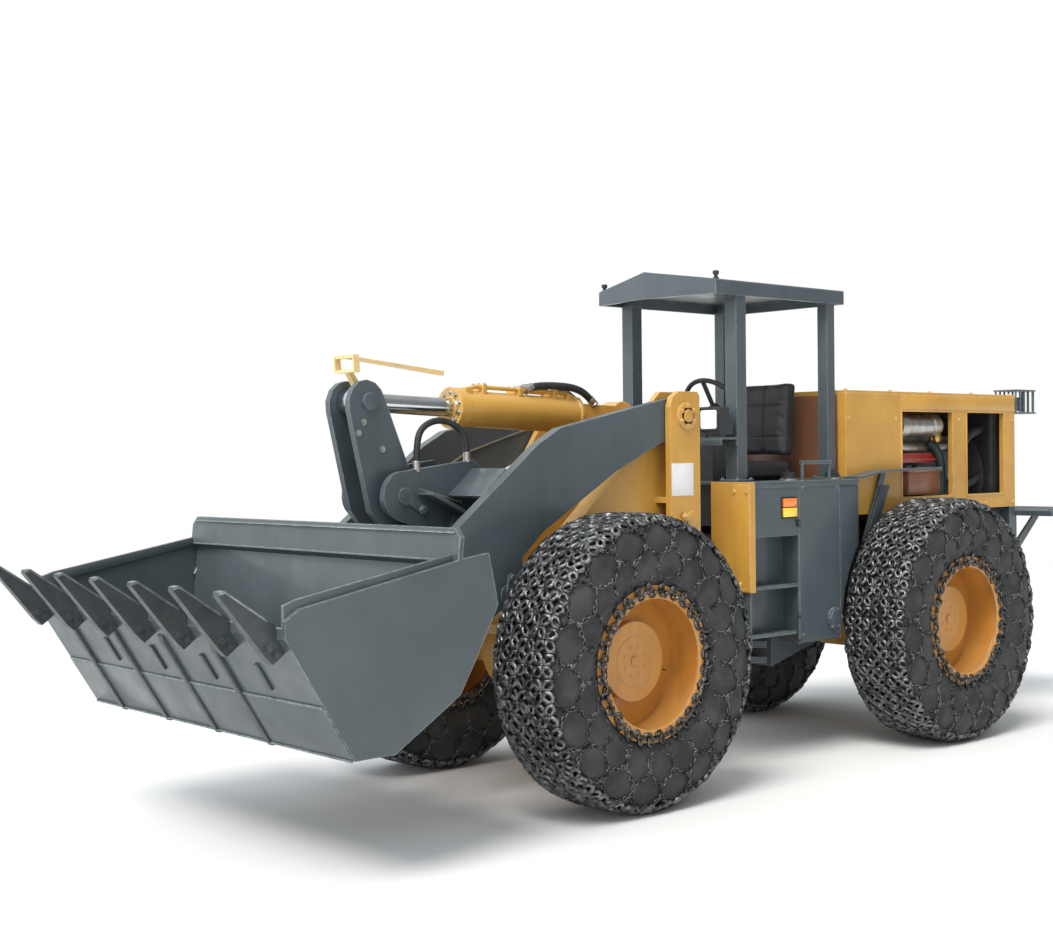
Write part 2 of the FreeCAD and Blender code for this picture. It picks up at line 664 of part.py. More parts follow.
def bucket():
    """A rolled-back bucket shell with spill guard, pivot lugs and wear strips."""
    piece = Piece("bucket")
    px, pz = S.BucketPivotX, S.BucketPivotZ
    half = S.BucketWidth / 2
    block = piece.side(-half, half, (
        (px + 647, pz + 450), (px + 377, pz + 16), (px + 207, pz + 17), (px - 83, pz + 190),
        (px - 173, pz + 340), (px - 263, pz + 500), (px - 252, pz + 556), (px - 92, pz + 672),
        (px + 587, pz + 547), (px + 647, pz + 510),
    ))
    doc.recompute()
    shell = piece.body.newObject("PartDesign::Thickness", "Shell_bucket")
    shell.Base = (block, open_faces(block, (
        (px + 247, pz + 609.5), (px + 617, pz + 528.5), (px + 647, pz + 480))))
    bind(shell, "Value", S.BucketWall)
    shell.Reversed = True
    shell.Join = 1
    piece.body.Tip = shell
    doc.recompute()
    spill_guard(piece, half)
    for side in (1, -1):
        for inner in (S.ArmOuterFace - S.ArmThickness - S.SideGap - 28, S.ArmOuterFace + S.SideGap):
            low, high = ordered(side, inner, inner + 28)
            piece.side(low, high, (
                (px - 118, pz + 262), (px - 75, pz + 20), (px - 40, pz - 68), (px + 50, pz - 62),
                (px + 210, pz + 25), (px - 76, pz + 196),
            ))
        low, high = ordered(side, S.CrankInnerFace, S.CrankInnerFace + 28)
        piece.side(low, high, (
            (px - 222, pz + 440), (S.LinkPinX - 62, S.LinkPinZ + 20), (S.LinkPinX - 40, S.LinkPinZ - 45),
            (S.LinkPinX + 20, S.LinkPinZ - 55), (px + 60, pz + 110), (px - 76, pz + 196), (px - 165, pz + 345),
        ))
        inner_lug = S.ArmOuterFace - S.ArmThickness - S.SideGap - 28
        low, high = ordered(side, inner_lug - 6, S.ArmOuterFace + S.SideGap + 34)
        piece.side(low, high, (px, pz, S.BucketPinRadius))
    return piece


def spill_guard(piece, half):
    """The upright plate on the back wall, and the side cheeks' corners behind it."""
    px, pz = S.BucketPivotX, S.BucketPivotZ
    foot, top = pz + 664, pz + 784
    piece.side(-half, half, ((px - 98, foot), (px - 78, foot), (px - 92, top), (px - 112, top)))
    clip = 34
    for side in (1, -1):
        piece.cut_front(px - 130, px - 60, (
            (side * (half + 1), top - clip), (side * (half + 1), top + 1), (side * (half - clip), top + 1)))
        low, high = ordered(side, half - S.BucketWall, half)
        piece.side(low, high, (
            (px - 263, pz + 500), (px - 222, pz + 690), (px - 80, pz + 672), (px - 100, pz + 640),
            (px - 250, pz + 540),
        ))


def open_faces(feature, centres):
    """Names of the faces whose middles lie at the given (X, Z) places."""
    names = []
    for x, z in centres:
        target = Vector(x.value, 0, z.value)
        faces = feature.Shape.Faces
        nearest = min(range(len(faces)), key=lambda i: (faces[i].CenterOfMass - target).Length)
        names.append(f"Face{nearest + 1}")
    return names


def bucket_teeth():
    """Seven blade-like teeth, each a long wedge that grips the lip from below."""
    piece = Piece("bucket_teeth")
    px, pz = S.BucketPivotX, S.BucketPivotZ
    count = 7
    spread = S.BucketWidth / 2 - 70
    run, rise = 270 / 511, 434 / 511
    lip_x, lip_z = px + 647, pz + 450
    grip, depth = 60, 62
    foot_x, foot_z = lip_x - grip * run, lip_z - grip * rise
    tip_x, tip_z = lip_x + S.ToothReach, lip_z + S.ToothRise
    for index in range(count):
        middle = spread * (index * 2 / (count - 1) - 1)
        low, high = middle - S.ToothWidth / 2, middle + S.ToothWidth / 2
        piece.side(low, high, (
            (foot_x + 0.3, foot_z - 0.2), (lip_x + 0.3, lip_z - 0.2), (lip_x + 6, lip_z + 46),
            (tip_x - 22, tip_z + 4), (tip_x, tip_z), (tip_x + 2, tip_z - 12),
            (foot_x + depth + 12, foot_z - 8), (foot_x + depth - 16, foot_z - 34),
        ))
    return piece


# ---------------------------------------------------------------- cylinders

def barrel(node, at, length, first, radius, rod, eye, width, pin):
    """A cylinder barrel along X: base eye, tube, gland and a blind chamber."""
    piece = Piece(node, at)
    half = as_size(width) / 2
    piece.side(-half, half, (as_size(0), as_size(0), eye))
    piece.side(-half, half, box(as_size(0), first + 4, -as_size(eye) * 0.7, as_size(eye) * 0.7))
    chamber = radius - 12
    piece.turn((
        (first, as_size(0)), (first, radius), (length - 46, radius), (length - 46, radius + 10),
        (length, radius + 10), (length, rod + S.RunningFit), (length - 40, rod + S.RunningFit),
        (length - 40, chamber), (first + 20, chamber), (first + 20, as_size(0)),
    ))
    piece.cut_side(-half - 1, half + 1, (as_size(0), as_size(0), pin + S.RunningFit))
    return piece


def rod(node, at, length, radius, chamber, eye, width, pin_reach, pin):
    """A piston rod along -X from its eye, with its piston; the pin stays in the eye."""
    piece = Piece(node, at)
    half = as_size(width) / 2
    piece.turn((
        (-length, as_size(0)), (-length, chamber), (-length + 34, chamber), (-length + 34, radius),
        (as_size(-10), radius), (as_size(-10), as_size(0)),
    ))
    piece.side(-half, half, (as_size(0), as_size(0), eye))
    piece.side(-pin_reach, pin_reach, (as_size(0), as_size(0), pin))
    return piece


def distance(x_one, z_one, x_two, z_two):
    """Length between two pins as a bound size."""
    run, rise = x_two - x_one, z_two - z_one
    value = math.hypot(run.value, rise.value)
    return Size(value, f"sqrt({run.text} ^ 2 + {rise.text} ^ 2)")


def lift_cylinders():
    reach = distance(S.LiftBaseX, S.LiftBaseZ, S.LiftEyeX, S.LiftEyeZ)
    pin = S.CrankPinRadius - 5
    for side, name in ((1, "left"), (-1, "right")):
        at = (S.LiftBaseX, side * S.LiftY, S.LiftBaseZ)
        tube = barrel(f"{name}_lift_barrel", at, reach - 155, as_size(72), S.LiftBarrelRadius,
                      S.LiftRodRadius, S.EyeRadius, S.EyeWidth, pin)
        tube.aim(S.LiftBaseX, S.LiftBaseZ, S.LiftEyeX, S.LiftEyeZ)
        at = (S.LiftEyeX, side * S.LiftY, S.LiftEyeZ)
        bar = rod(f"{name}_lift_rod", at, reach - 160, S.LiftRodRadius, S.LiftBarrelRadius - 12 - S.RunningFit,
                  S.EyeRadius, S.EyeWidth, S.EyeWidth / 2 + 2, pin)
        bar.aim(S.LiftBaseX, S.LiftBaseZ, S.LiftEyeX, S.LiftEyeZ)


def tilt_cylinder():
    reach = distance(S.BoomPivotX, S.BoomPivotZ, S.CrankTopX, S.CrankTopZ)
    width = (S.CrankInnerFace - S.SideGap) * 2
    tube = barrel("tilt_barrel", (S.BoomPivotX, as_size(0), S.BoomPivotZ), S.TiltGlandX - S.BoomPivotX,
                  S.TiltCapX - S.BoomPivotX, S.TiltBarrelRadius, S.TiltRodRadius, as_size(78), width,
                  S.BoomPinRadius)
    tube.aim(S.BoomPivotX, S.BoomPivotZ, S.CrankTopX, S.CrankTopZ)
    bar = rod("tilt_rod", (S.CrankTopX, as_size(0), S.CrankTopZ), as_size(930), S.TiltRodRadius,
              S.TiltBarrelRadius - 12 - S.RunningFit, as_size(62), width,
              width / 2 + 2, S.CrankPinRadius - 5)
    bar.aim(S.BoomPivotX, S.BoomPivotZ, S.CrankTopX, S.CrankTopZ)
    return reach


def level_indicator():
    """A forked bracket on the tilt rod's eye with the long pointer rod that shows the bucket's angle."""
    piece = Piece("level_indicator")
    x, z = S.CrankTopX, S.CrankTopZ
    seat, top = z + 62 + S.SeatGap, z + 190
    stem = as_size(14)
    piece.side(-stem, stem, ((x - 16, seat), (x + 16, seat), (x + 56, top - 62), (x + 32, top - 62)))
    half = as_size(70)
    piece.side(-half, half, ((x + 32, top - 72), (x + 62, top - 72), (x + 62, top - 60), (x + 32, top - 60)))
    for side in (1, -1):
        low, high = ordered(side, half - 8, half)
        piece.side(low, high, ((x + 32, top - 61), (x + 62, top - 61), (x + 66, top), (x + 38, top)))
    piece.side(-half, half, ((x + 36, top - 14), (x + 66, top - 14), (x + 66, top), (x + 38, top)))
    piece.side(as_size(-9), as_size(9), (
        (x + 62, top), (x - 452, top - 51), (x - 450, top - 71), (x + 62, top - 14)))
    return piece


def steering_cylinders():
    run, rise = S.SteerEyeX - S.SteerBaseX, S.SteerEyeY - S.SteerY
    reach = distance(S.SteerBaseX, S.SteerY, S.SteerEyeX, S.SteerEyeY)
    pin = as_size(22)
    for side, name in ((1, "left"), (-1, "right")):
        tube = lying_barrel(f"{name}_steer_barrel", side, reach - 185, pin)
        bar = lying_rod(f"{name}_steer_rod", side, reach - 215, pin)
        for piece in (tube, bar):
            piece.body.Placement.Rotation = Rotation(Vector(0, 0, 1), 0)
            sign = "" if side > 0 else "-"
            piece.body.setExpression("Placement.Rotation.Angle", f"{sign}atan({rise.text} / {run.text})")


def lying_barrel(node, side, length, pin):
    """A steering barrel: its eye has an upright pin bore."""
    piece = Piece(node, (S.SteerBaseX, side * S.SteerY, S.SteerZ))
    half, first = S.EyeWidth / 2, as_size(52)
    radius, chamber = S.SteerBarrelRadius, S.SteerBarrelRadius - 9
    rod_radius = S.SteerRodRadius
    piece.plan(-half, half, (as_size(0), as_size(0), as_size(38)))
    piece.plan(-half, half, box(as_size(0), first + 3, as_size(-26), as_size(26)))
    piece.turn((
        (first, as_size(0)), (first, radius), (length - 36, radius), (length - 36, radius + 7),
        (length, radius + 7), (length, rod_radius + S.RunningFit), (length - 32, rod_radius + S.RunningFit),
        (length - 32, chamber), (first + 16, chamber), (first + 16, as_size(0)),
    ))
    piece.cut_plan(-half - 1, half + 1, (as_size(0), as_size(0), pin + S.RunningFit))
    return piece


def lying_rod(node, side, length, pin):
    piece = Piece(node, (S.SteerEyeX, side * S.SteerEyeY, S.SteerZ))
    half = S.EyeWidth / 2
    chamber, radius = S.SteerBarrelRadius - 9 - S.RunningFit, S.SteerRodRadius
    piece.turn((
        (-length, as_size(0)), (-length, chamber), (-length + 24, chamber), (-length + 24, radius),
        (as_size(-10), radius), (as_size(-10), as_size(0)),
    ))
    piece.plan(-half, half, (as_size(0), as_size(0), as_size(36)))
    piece.plan(-half - 2, half + 2, (as_size(0), as_size(0), pin))
    return piece


# ---------------------------------------------------------------- rear frame

def rear_frame():
    """Two deep rails with hinge forks in front, cross members and the rear axle's saddle."""
    piece = Piece("rear_frame")
    rail_out = S.RailInnerFace + S.RailThickness
    reach = S.HingeToRearAxle
    for side in (1, -1):
        low, high = ordered(side, S.RailInnerFace, rail_out)
        piece.side(low, high, (
            (S.RailRearX, S.RailBottomZ + 20), (as_size(-260), S.RailBottomZ), (as_size(260), S.RailBottomZ),
            (S.RailFrontX - 420, S.RailBottomZ - 160), (S.RailFrontX, S.LowerHingeZ - 65),
            (S.RailFrontX, S.UpperHingeZ + 75), (S.RailFrontX - 300, S.UpperHingeZ + 75),
            (S.RailFrontX - 460, S.RailTopZ), (S.RailRearX, S.RailTopZ),
        ))
    for x_low, z_low in ((S.RailRearX, S.RailBottomZ + 30), (S.RailFrontX - 24, S.LowerHingeZ - 65)):
        piece.front(x_low, x_low + 24, box(
            -S.RailInnerFace, S.RailInnerFace, z_low, S.RailTopZ - 20))
    piece.cut_front(S.RailFrontX - 30, S.RailFrontX + 5, (as_size(0), S.TyreRadius, as_size(80)))
    for side in (1, -1):
        piece.cut_front(S.RailFrontX - 30, S.RailFrontX + 5, box(
            side * S.SteerY - 62, side * S.SteerY + 62, S.SteerZ - 62, S.SteerZ + 62))
    for middle in (S.UpperHingeZ, S.LowerHingeZ):
        for sign in (1, -1):
            near = S.HingeLugThickness / 2 + 1
            far = near + 30
            low, high = (middle + near, middle + far) if sign > 0 else (middle - far, middle - near)
            piece.plan(low, high, (
                (S.RailFrontX - 30, -S.RailInnerFace), (S.RailFrontX, -S.RailInnerFace),
                (reach, -S.HingeLugRadius + 8), (reach, S.HingeLugRadius - 8),
                (S.RailFrontX, S.RailInnerFace), (S.RailFrontX - 30, S.RailInnerFace),
            ))
            piece.plan(low, high, (reach, as_size(0), S.HingeLugRadius - 8))
        piece.plan(middle - 64, middle + 64, (reach, as_size(0), S.HingePinRadius))
        piece.plan(middle + 52, middle + 62, (reach, as_size(0), S.HingePinRadius + 22))
    steer_anchor(piece)
    engine_beams(piece)
    return piece


def engine_beams(piece):
    """Cross beams under the engine and gearbox, and brackets that carry the hood."""
    for x_low, z_high in ((as_size(-760), S.EngineBottomZ), (as_size(-260), S.EngineBottomZ),
                          (as_size(70), S.GearboxBottomZ), (as_size(370), S.GearboxBottomZ)):
        piece.front(x_low, x_low + 50, box(
            -S.RailInnerFace - 1, S.RailInnerFace + 1, z_high - 45, z_high - S.SeatGap))
    rail_out = S.RailInnerFace + S.RailThickness
    for x_low in (S.BonnetRearX + 2, S.BonnetFrontX - 90):
        for side in (1, -1):
            low, high = ordered(side, rail_out - 2, S.BonnetHalfWidth - 2)
            piece.side(low, high, box(
                x_low, x_low + 50, S.RailTopZ - 60, S.BonnetBottomZ - S.SeatGap))


def steer_anchor(piece):
    """A cross plate behind the steering cylinders with a fork and pin for each base eye."""
    half = S.EyeWidth / 2 + S.SideGap
    back = S.SteerBaseX - 110
    piece.front(back, back + 24, box(-S.RailInnerFace, S.RailInnerFace, S.SteerZ - 60, S.SteerZ + 60))
    for side in (1, -1):
        for low, high in ((S.SteerZ + half, S.SteerZ + half + S.LugThickness),
                          (S.SteerZ - half - S.LugThickness, S.SteerZ - half)):
            piece.plan(low, high, box(
                back + 20, S.SteerBaseX + 34, side * S.SteerY - 40, side * S.SteerY + 40))
        reach = half + S.LugThickness
        piece.plan(S.SteerZ - reach, S.SteerZ + reach, (S.SteerBaseX, side * S.SteerY, as_size(22)))


def counterweight():
    """Tail casting under a flat rear platform, with a diagonal brace each side."""
    piece = Piece("counterweight")
    plate_low = S.PlatformTopZ - 30
    front = S.RailRearX - S.SeatGap
    half = S.WeightHalfWidth
    piece.plan(S.RailBottomZ - 60, plate_low, (
        (front, -half), (front, half), (S.WeightRearX + 40, half), (S.WeightRearX, half - 40),
        (S.WeightRearX, 40 - half), (S.WeightRearX + 40, -half),
    ))
    piece.plan(plate_low, S.PlatformTopZ, (
        (front, -S.PlatformHalfWidth), (front, S.PlatformHalfWidth), (S.RearEndX + 140, S.PlatformHalfWidth),
        (S.RearEndX, S.PlatformHalfWidth - 200), (S.RearEndX, -S.PlatformHalfWidth + 200),
        (S.RearEndX + 140, -S.PlatformHalfWidth),
    ))
    for side in (1, -1):
        low, high = ordered(side, half - 14, half)
        piece.side(low, high, (
            (front, S.RailTopZ - 150), (S.RearEndX + 260, plate_low + 1), (S.RearEndX + 330, plate_low + 1),
            (front, S.RailTopZ - 80),
        ))
    return piece


def block(node, x_low, x_high, half, z_low, z_high):
    """A plain rectangular mass."""
    piece = Piece(node)
    piece.side(-half, half, box(x_low, x_high, z_low, z_high))
    return piece


def drive_shaft(node, x_low, x_high, z_axis, ball_end):
    """A slim tube with joint flanges; one shaft carries the ball on the hinge axis."""
    piece = Piece(node, (x_low, as_size(0), z_axis))
    length = x_high - x_low
    radius = S.ShaftRadius
    piece.turn((
        (as_size(0), as_size(0)), (as_size(0), radius + 18), (as_size(16), radius + 18),
        (as_size(30), radius), (length - 30, radius), (length - 16, radius + 18),
        (length, radius + 18), (length, as_size(0)),
    ))
    if ball_end:
        piece.turn((
            (length - 1, as_size(0)), (length - 1, as_size(14)), (length + 20, as_size(14)),
            (length + 24, as_size(22)), (length + 40, as_size(28)), (length + 56, as_size(22)),
            (length + 62, as_size(12)), (length + 62, as_size(0)),
        ))
    return piece


def bonnet_frame():
    """Engine hood: four walls with a blank front panel, two windows a side and a rear opening."""
    piece = Piece("bonnet_frame")
    half, wall = S.BonnetHalfWidth, S.BonnetWall
    piece.plan(S.BonnetBottomZ, S.BonnetTopZ, box(S.BonnetRearX, S.BonnetFrontX, -half, half),
               box(S.BonnetRearX + wall, S.BonnetFrontX - wall, -half + wall, half - wall))
    reach = half + 1
    piece.cut_side(-reach, reach, box(
        as_size(-475), as_size(-10), S.WindowBottomZ, S.WindowTopZ))
    piece.cut_side(-reach, reach, box(
        S.BonnetRearX + 120, as_size(-618), S.WindowBottomZ, S.WindowTopZ))
    piece.cut_front(S.BonnetRearX - 1, S.BonnetRearX + wall + 1, box(
        -half + 70, half - 70, S.WindowBottomZ, S.WindowTopZ))
    return piece


def bonnet_top():
    """The hood's lid, resting on its walls."""
    piece = Piece("bonnet_top")
    half = S.BonnetHalfWidth
    piece.plan(S.BonnetTopZ, S.BonnetTopZ + 14, box(S.BonnetRearX, S.BonnetFrontX, -half, half))
    return piece


def operator_deck():
    """Deck plate with the sunken foot well, its walls and floor."""
    piece = Piece("operator_deck")
    low = S.DeckTopZ - S.DeckThickness
    piece.plan(low, S.DeckTopZ, box(S.DeckRearX, S.DeckFrontX, -S.DeckHalfWidth, S.DeckHalfWidth),
               box(S.WellRearX, S.WellFrontX, -S.WellHalfWidth, S.WellHalfWidth))
    wall = S.DeckThickness
    piece.plan(S.FloorZ, S.DeckTopZ,
               box(S.WellRearX - wall, S.WellFrontX + wall, -S.WellHalfWidth - wall, S.WellHalfWidth + wall),
               box(S.WellRearX, S.WellFrontX, -S.WellHalfWidth, S.WellHalfWidth))
    piece.plan(S.FloorZ - wall, S.FloorZ,
               box(S.WellRearX - wall, S.WellFrontX + wall, -S.WellHalfWidth - wall, S.WellHalfWidth + wall))
    return piece


def tank_box(node, side, rear, front):
    """A tank beside the frame, under the deck, with a chamfered lower edge."""
    piece = Piece(node)
    top = S.DeckTopZ - S.DeckThickness
    inner, outer = S.RailInnerFace + S.RailThickness + S.SeatGap, S.DeckHalfWidth - 4
    piece.front(rear, front, (
        (side * inner, S.TankBottomZ + 60), (side * (inner + 60), S.TankBottomZ),
        (side * (outer - 12), S.TankBottomZ), (side * outer, S.TankBottomZ + 12), (side * outer, top),
        (side * inner, top),
    ))
    return piece


def battery_box():
    """The right side's box in front of the tank, kept clear of the turning front frame."""
    piece = Piece("battery_box")
    top = S.DeckTopZ - S.DeckThickness
    outer = S.DeckHalfWidth - 4
    piece.front(S.TankFrontX + S.SeatGap, S.DeckFrontX, (
        (-S.StepBackY, S.TankBottomZ + 60), (-outer, S.TankBottomZ + 12), (-outer, top), (-S.StepBackY, top)))
    return piece


def steps():
    """Open step case in front of the left tank: two cheeks, a back sheet and three treads."""
    piece = Piece("left_steps")
    top = S.DeckTopZ - S.DeckThickness
    rear, front = S.TankFrontX + S.SeatGap, S.DeckFrontX
    back, outer = S.StepBackY, S.DeckHalfWidth - 4
    cheek = 10
    for low in (rear, front - cheek):
        piece.front(low, low + cheek, (
            (back, S.TankBottomZ + 60), (outer, S.TankBottomZ), (outer, top), (back, top)))
    piece.side(back, back + cheek, box(rear, front, S.TankBottomZ + 60, top))
    for tread in (as_size(620), as_size(845), S.TopStepZ):
        piece.plan(tread - 8, tread, box(rear, front, back, outer))
    piece.side(outer - cheek, outer, box(rear, front, S.TopStepZ - 1, top))
    return piece


def station_apron():
    """Yellow front sheets under the deck, one each side of the turning frame."""
    piece = Piece("station_apron")
    face = S.DeckFrontX + S.SeatGap
    fold = 24
    for side in (1, -1):
        piece.front(face, face + S.DeckThickness, box(
            side * S.ApronInnerY, side * S.ApronOuterY, S.ApronBottomZ, S.DeckTopZ))
        low, high = ordered(side, S.ApronOuterY - 10, S.ApronOuterY)
        piece.side(low, high, box(face - fold, face + 1, S.ApronBottomZ, S.DeckTopZ))
    return piece


def canopy_posts():
    """Four square posts standing on the deck."""
    piece = Piece("canopy_posts")
    for x, size in ((S.FrontPostX, S.FrontPostSize), (S.RearPostX, S.RearPostSize)):
        for side in (1, -1):
            middle = side * S.PostSpread
            piece.plan(S.DeckTopZ, S.RoofBottomZ, box(
                x - size / 2, x + size / 2, middle - size / 2, middle + size / 2))
    return piece


def canopy_roof():
    """A ridged roof tray with a pointed front and a hollow underside."""
    piece = Piece("canopy_roof")
    half = S.RoofHalfWidth
    piece.front(S.RoofRearX, S.RoofNoseX, (
        (-half, S.RoofBottomZ), (half, S.RoofBottomZ), (half, S.RoofTopZ), (as_size(0), S.RoofCrestZ),
        (-half, S.RoofTopZ),
    ))
    for side in (1, -1):
        piece.cut_plan(S.RoofBottomZ - 1, S.RoofCrestZ + 1, (
            (S.RoofNoseX, as_size(0)), (S.RoofFrontX, side * half), (S.RoofFrontX, side * (half + 5)),
            (S.RoofNoseX + 5, side * (half + 5)), (S.RoofNoseX + 5, as_size(0)),
        ))
    inset = 14
    piece.cut_plan(S.RoofBottomZ - 1, S.RoofBottomZ + 48, (
        (S.RoofRearX + inset, inset - half), (S.RoofFrontX - inset, inset - half),
        (S.RoofNoseX - inset, as_size(0)), (S.RoofFrontX - inset, half - inset),
        (S.RoofRearX + inset, half - inset),
    ))
    for x, size in ((S.FrontPostX, S.FrontPostSize), (S.RearPostX, S.RearPostSize)):
        for side in (1, -1):
            middle = side * S.PostSpread
            piece.plan(S.RoofBottomZ, S.RoofBottomZ + 50, box(
                x - size / 2, x + size / 2, middle - size / 2, middle + size / 2))
    return piece


def seat():
    base = Piece("seat_base")
    base.side(as_size(-170), as_size(170), box(
        as_size(640), as_size(960), S.FloorZ, S.FloorZ + 200))
    cushion = Piece("seat_cushion")
    cushion.side(as_size(-230), as_size(230), box(
        as_size(610), as_size(1010), S.FloorZ + 200 + S.SeatGap, S.FloorZ + 300))
    backrest = Piece("seat_backrest")
    low = S.FloorZ + 300 + S.SeatGap
    backrest.side(as_size(-230), as_size(230), (
        (as_size(615), low), (as_size(705), low), (as_size(660), low + 420), (as_size(580), low + 420)))


def console():
    """Instrument stand at the front of the foot well, and the wheel on its raked column."""
    piece = Piece("control_console")
    top = S.DeckTopZ + 300
    face = S.WellFrontX - 4
    piece.side(as_size(-150), as_size(150), (
        (face - 86, S.FloorZ), (face, S.FloorZ), (face, top), (face - 56, top + 20), (face - 106, top - 60)))
    wheel = Piece("steering_wheel", (face - 191.2, as_size(0), top + 48.9))
    wheel.turn((
        (as_size(-14), as_size(0)), (as_size(-14), as_size(38)), (as_size(12), as_size(38)),
        (as_size(22), as_size(18)), (as_size(129.7), as_size(18)), (as_size(129.7), as_size(0)),
    ))
    wheel.turn((as_size(0), as_size(178), as_size(12)))
    for width, height in ((170, 10), (10, 170)):
        wheel.front(as_size(-6), as_size(6), box(
            as_size(-width), as_size(width), as_size(-height), as_size(height)))
    wheel.body.Placement.Rotation = Rotation(Vector(0, 1, 0), 32.005)
    return piece


def lamps():
    """Work lamps on the front posts and guarded lamps at the rear of the hood."""
    head = Piece("head_lamps")
    rear = Piece("rear_lamps")
    for side in (1, -1):
        middle = side * S.PostSpread
        face = S.FrontPostX + S.FrontPostSize / 2
        head.front(face, face + 40, box(middle - 12, middle + 12, as_size(1590), as_size(1640)))
        head.front(face + 40, face + 130, box(middle - 45, middle + 45, as_size(1568), as_size(1664)))
        edge = side * (S.BonnetHalfWidth - 70)
        rear.front(S.BonnetRearX - 170, S.BonnetRearX, box(edge - 65, edge + 65, as_size(1690), as_size(1800)))


def fenders():
    """A narrow mudguard shelf over each rear tyre, held by a sloping strut."""
    piece = Piece("rear_fenders")
    inner, outer = S.BonnetHalfWidth + S.SeatGap, S.DeckHalfWidth - 8
    back, front = as_size(-240), S.DeckRearX - S.SeatGap
    top = S.DeckTopZ + 50
    for side in (1, -1):
        low, high = ordered(side, inner, outer)
        piece.side(low, high, (
            (back, top - 12), (as_size(280), top - 20), (front - 30, S.DeckTopZ), (front, S.DeckTopZ),
            (front, S.DeckTopZ + 12), (front - 26, S.DeckTopZ + 12), (as_size(284), top - 9), (back, top)))
        low, high = ordered(side, inner + 8, inner + 20)
        piece.side(low, high, strap(as_size(180), top - 20, as_size(338), as_size(1018), 19))
    return piece


def rails():
    """A hooped grab rail on the deck beside the operator, each side."""
    piece = Piece("grab_rails")
    for side in (1, -1):
        middle = side * (S.DeckHalfWidth - 40)
        low, high = middle - 9, middle + 9
        for x in (as_size(690), as_size(900)):
            piece.plan(S.DeckTopZ, S.DeckTopZ + 80, (x, middle, as_size(9)))
        piece.side(low, high, box(as_size(681), as_size(909), S.DeckTopZ + 78, S.DeckTopZ + 96))
    return piece


def caps():
    """Filler caps on the deck."""
    piece = Piece("filler_caps")
    for x in (as_size(940), as_size(600)):
        piece.plan(S.DeckTopZ, S.DeckTopZ + 26, (x, S.DeckHalfWidth - 90, as_size(36)))
    return piece


def build():
    front, rear = S.WheelBase, as_size(0)
    for place, x in (("front", front), ("rear", rear)):
        for name, side in (("left", 1), ("right", -1)):
            tyre(f"{place}_{name}_tyre", x, side)
            rim(f"{place}_{name}_rim", x, side)
    axle("front_axle", front, -1)
    axle("rear_axle", rear, 1)
    front_frame()
    lift_arms()
    bellcrank()
    tilt_link()
    bucket()
    bucket_teeth()
    lift_cylinders()
    tilt_cylinder()
    level_indicator()
    steering_cylinders()
    rear_frame()
    counterweight()
    block("engine_block", as_size(-850), as_size(-60), as_size(240), S.EngineBottomZ, as_size(1560))
    block("gearbox", as_size(60), as_size(430), as_size(190), S.GearboxBottomZ, as_size(1120))
    block("radiator", as_size(-1040), as_size(-930), as_size(370), S.RailTopZ + S.SeatGap, as_size(1700))
    drive_shaft("front_drive_shaft", S.HingeToRearAxle + 38, S.WheelBase - 330 - S.SeatGap,
                S.TyreRadius, False)
    drive_shaft("rear_drive_shaft", 330 + S.SeatGap, S.HingeToRearAxle - 40, S.TyreRadius, True)
    bonnet_frame()
    bonnet_top()
    operator_deck()
    tank_box("left_tank", 1, S.TankRearX, S.TankFrontX)
    tank_box("right_tank", -1, S.TankRearX, S.TankFrontX)
    battery_box()
    steps()
    station_apron()
    canopy_posts()
    canopy_roof()
    seat()
    console()
    lamps()
    fenders()
    rails()
    caps()


def check():
    """Stop if any feature failed or any sub-part has no valid solid."""
    doc.recompute()
    failed = [item.Name for item in doc.Objects if "Invalid" in item.State or "Error" in item.State]
    if failed:
        raise RuntimeError("failed features: " + ", ".join(failed))
    for piece in PIECES:
        if piece.Shape.isNull() or not piece.Shape.isValid() or not piece.Shape.Solids:
            raise RuntimeError("bad shape: " + piece.Label)


def export():
    os.makedirs("parts", exist_ok=True)
    for piece in PIECES:
        piece.Shape.exportStep(f"parts/{piece.Label}.step")


build()
check()
export()
print(f"{len(PIECES)} sub-parts written")
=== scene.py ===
import bpy
import bmesh
import json
import math
import random
from mathutils import Matrix, Vector

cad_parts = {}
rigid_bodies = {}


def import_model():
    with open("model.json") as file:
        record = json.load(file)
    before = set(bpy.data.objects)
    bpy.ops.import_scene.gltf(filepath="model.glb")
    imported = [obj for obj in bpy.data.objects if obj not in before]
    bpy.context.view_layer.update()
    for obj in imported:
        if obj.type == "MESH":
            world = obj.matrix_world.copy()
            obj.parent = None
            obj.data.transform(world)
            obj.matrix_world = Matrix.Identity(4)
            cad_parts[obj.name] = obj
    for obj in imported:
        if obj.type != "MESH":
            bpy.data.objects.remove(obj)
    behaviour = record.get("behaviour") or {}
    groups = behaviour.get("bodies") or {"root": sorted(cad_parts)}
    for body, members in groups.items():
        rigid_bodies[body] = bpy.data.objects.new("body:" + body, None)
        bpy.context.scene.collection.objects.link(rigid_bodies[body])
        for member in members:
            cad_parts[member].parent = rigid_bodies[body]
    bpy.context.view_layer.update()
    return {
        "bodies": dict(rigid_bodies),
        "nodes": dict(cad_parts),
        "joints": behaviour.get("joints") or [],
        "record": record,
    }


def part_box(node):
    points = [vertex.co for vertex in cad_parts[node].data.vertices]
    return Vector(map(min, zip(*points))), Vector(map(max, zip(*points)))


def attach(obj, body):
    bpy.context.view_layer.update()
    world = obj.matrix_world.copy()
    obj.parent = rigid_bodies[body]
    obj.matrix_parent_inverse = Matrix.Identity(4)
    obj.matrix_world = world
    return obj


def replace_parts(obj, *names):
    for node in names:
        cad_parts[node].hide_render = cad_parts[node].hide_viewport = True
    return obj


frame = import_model()
nodes = frame["nodes"]

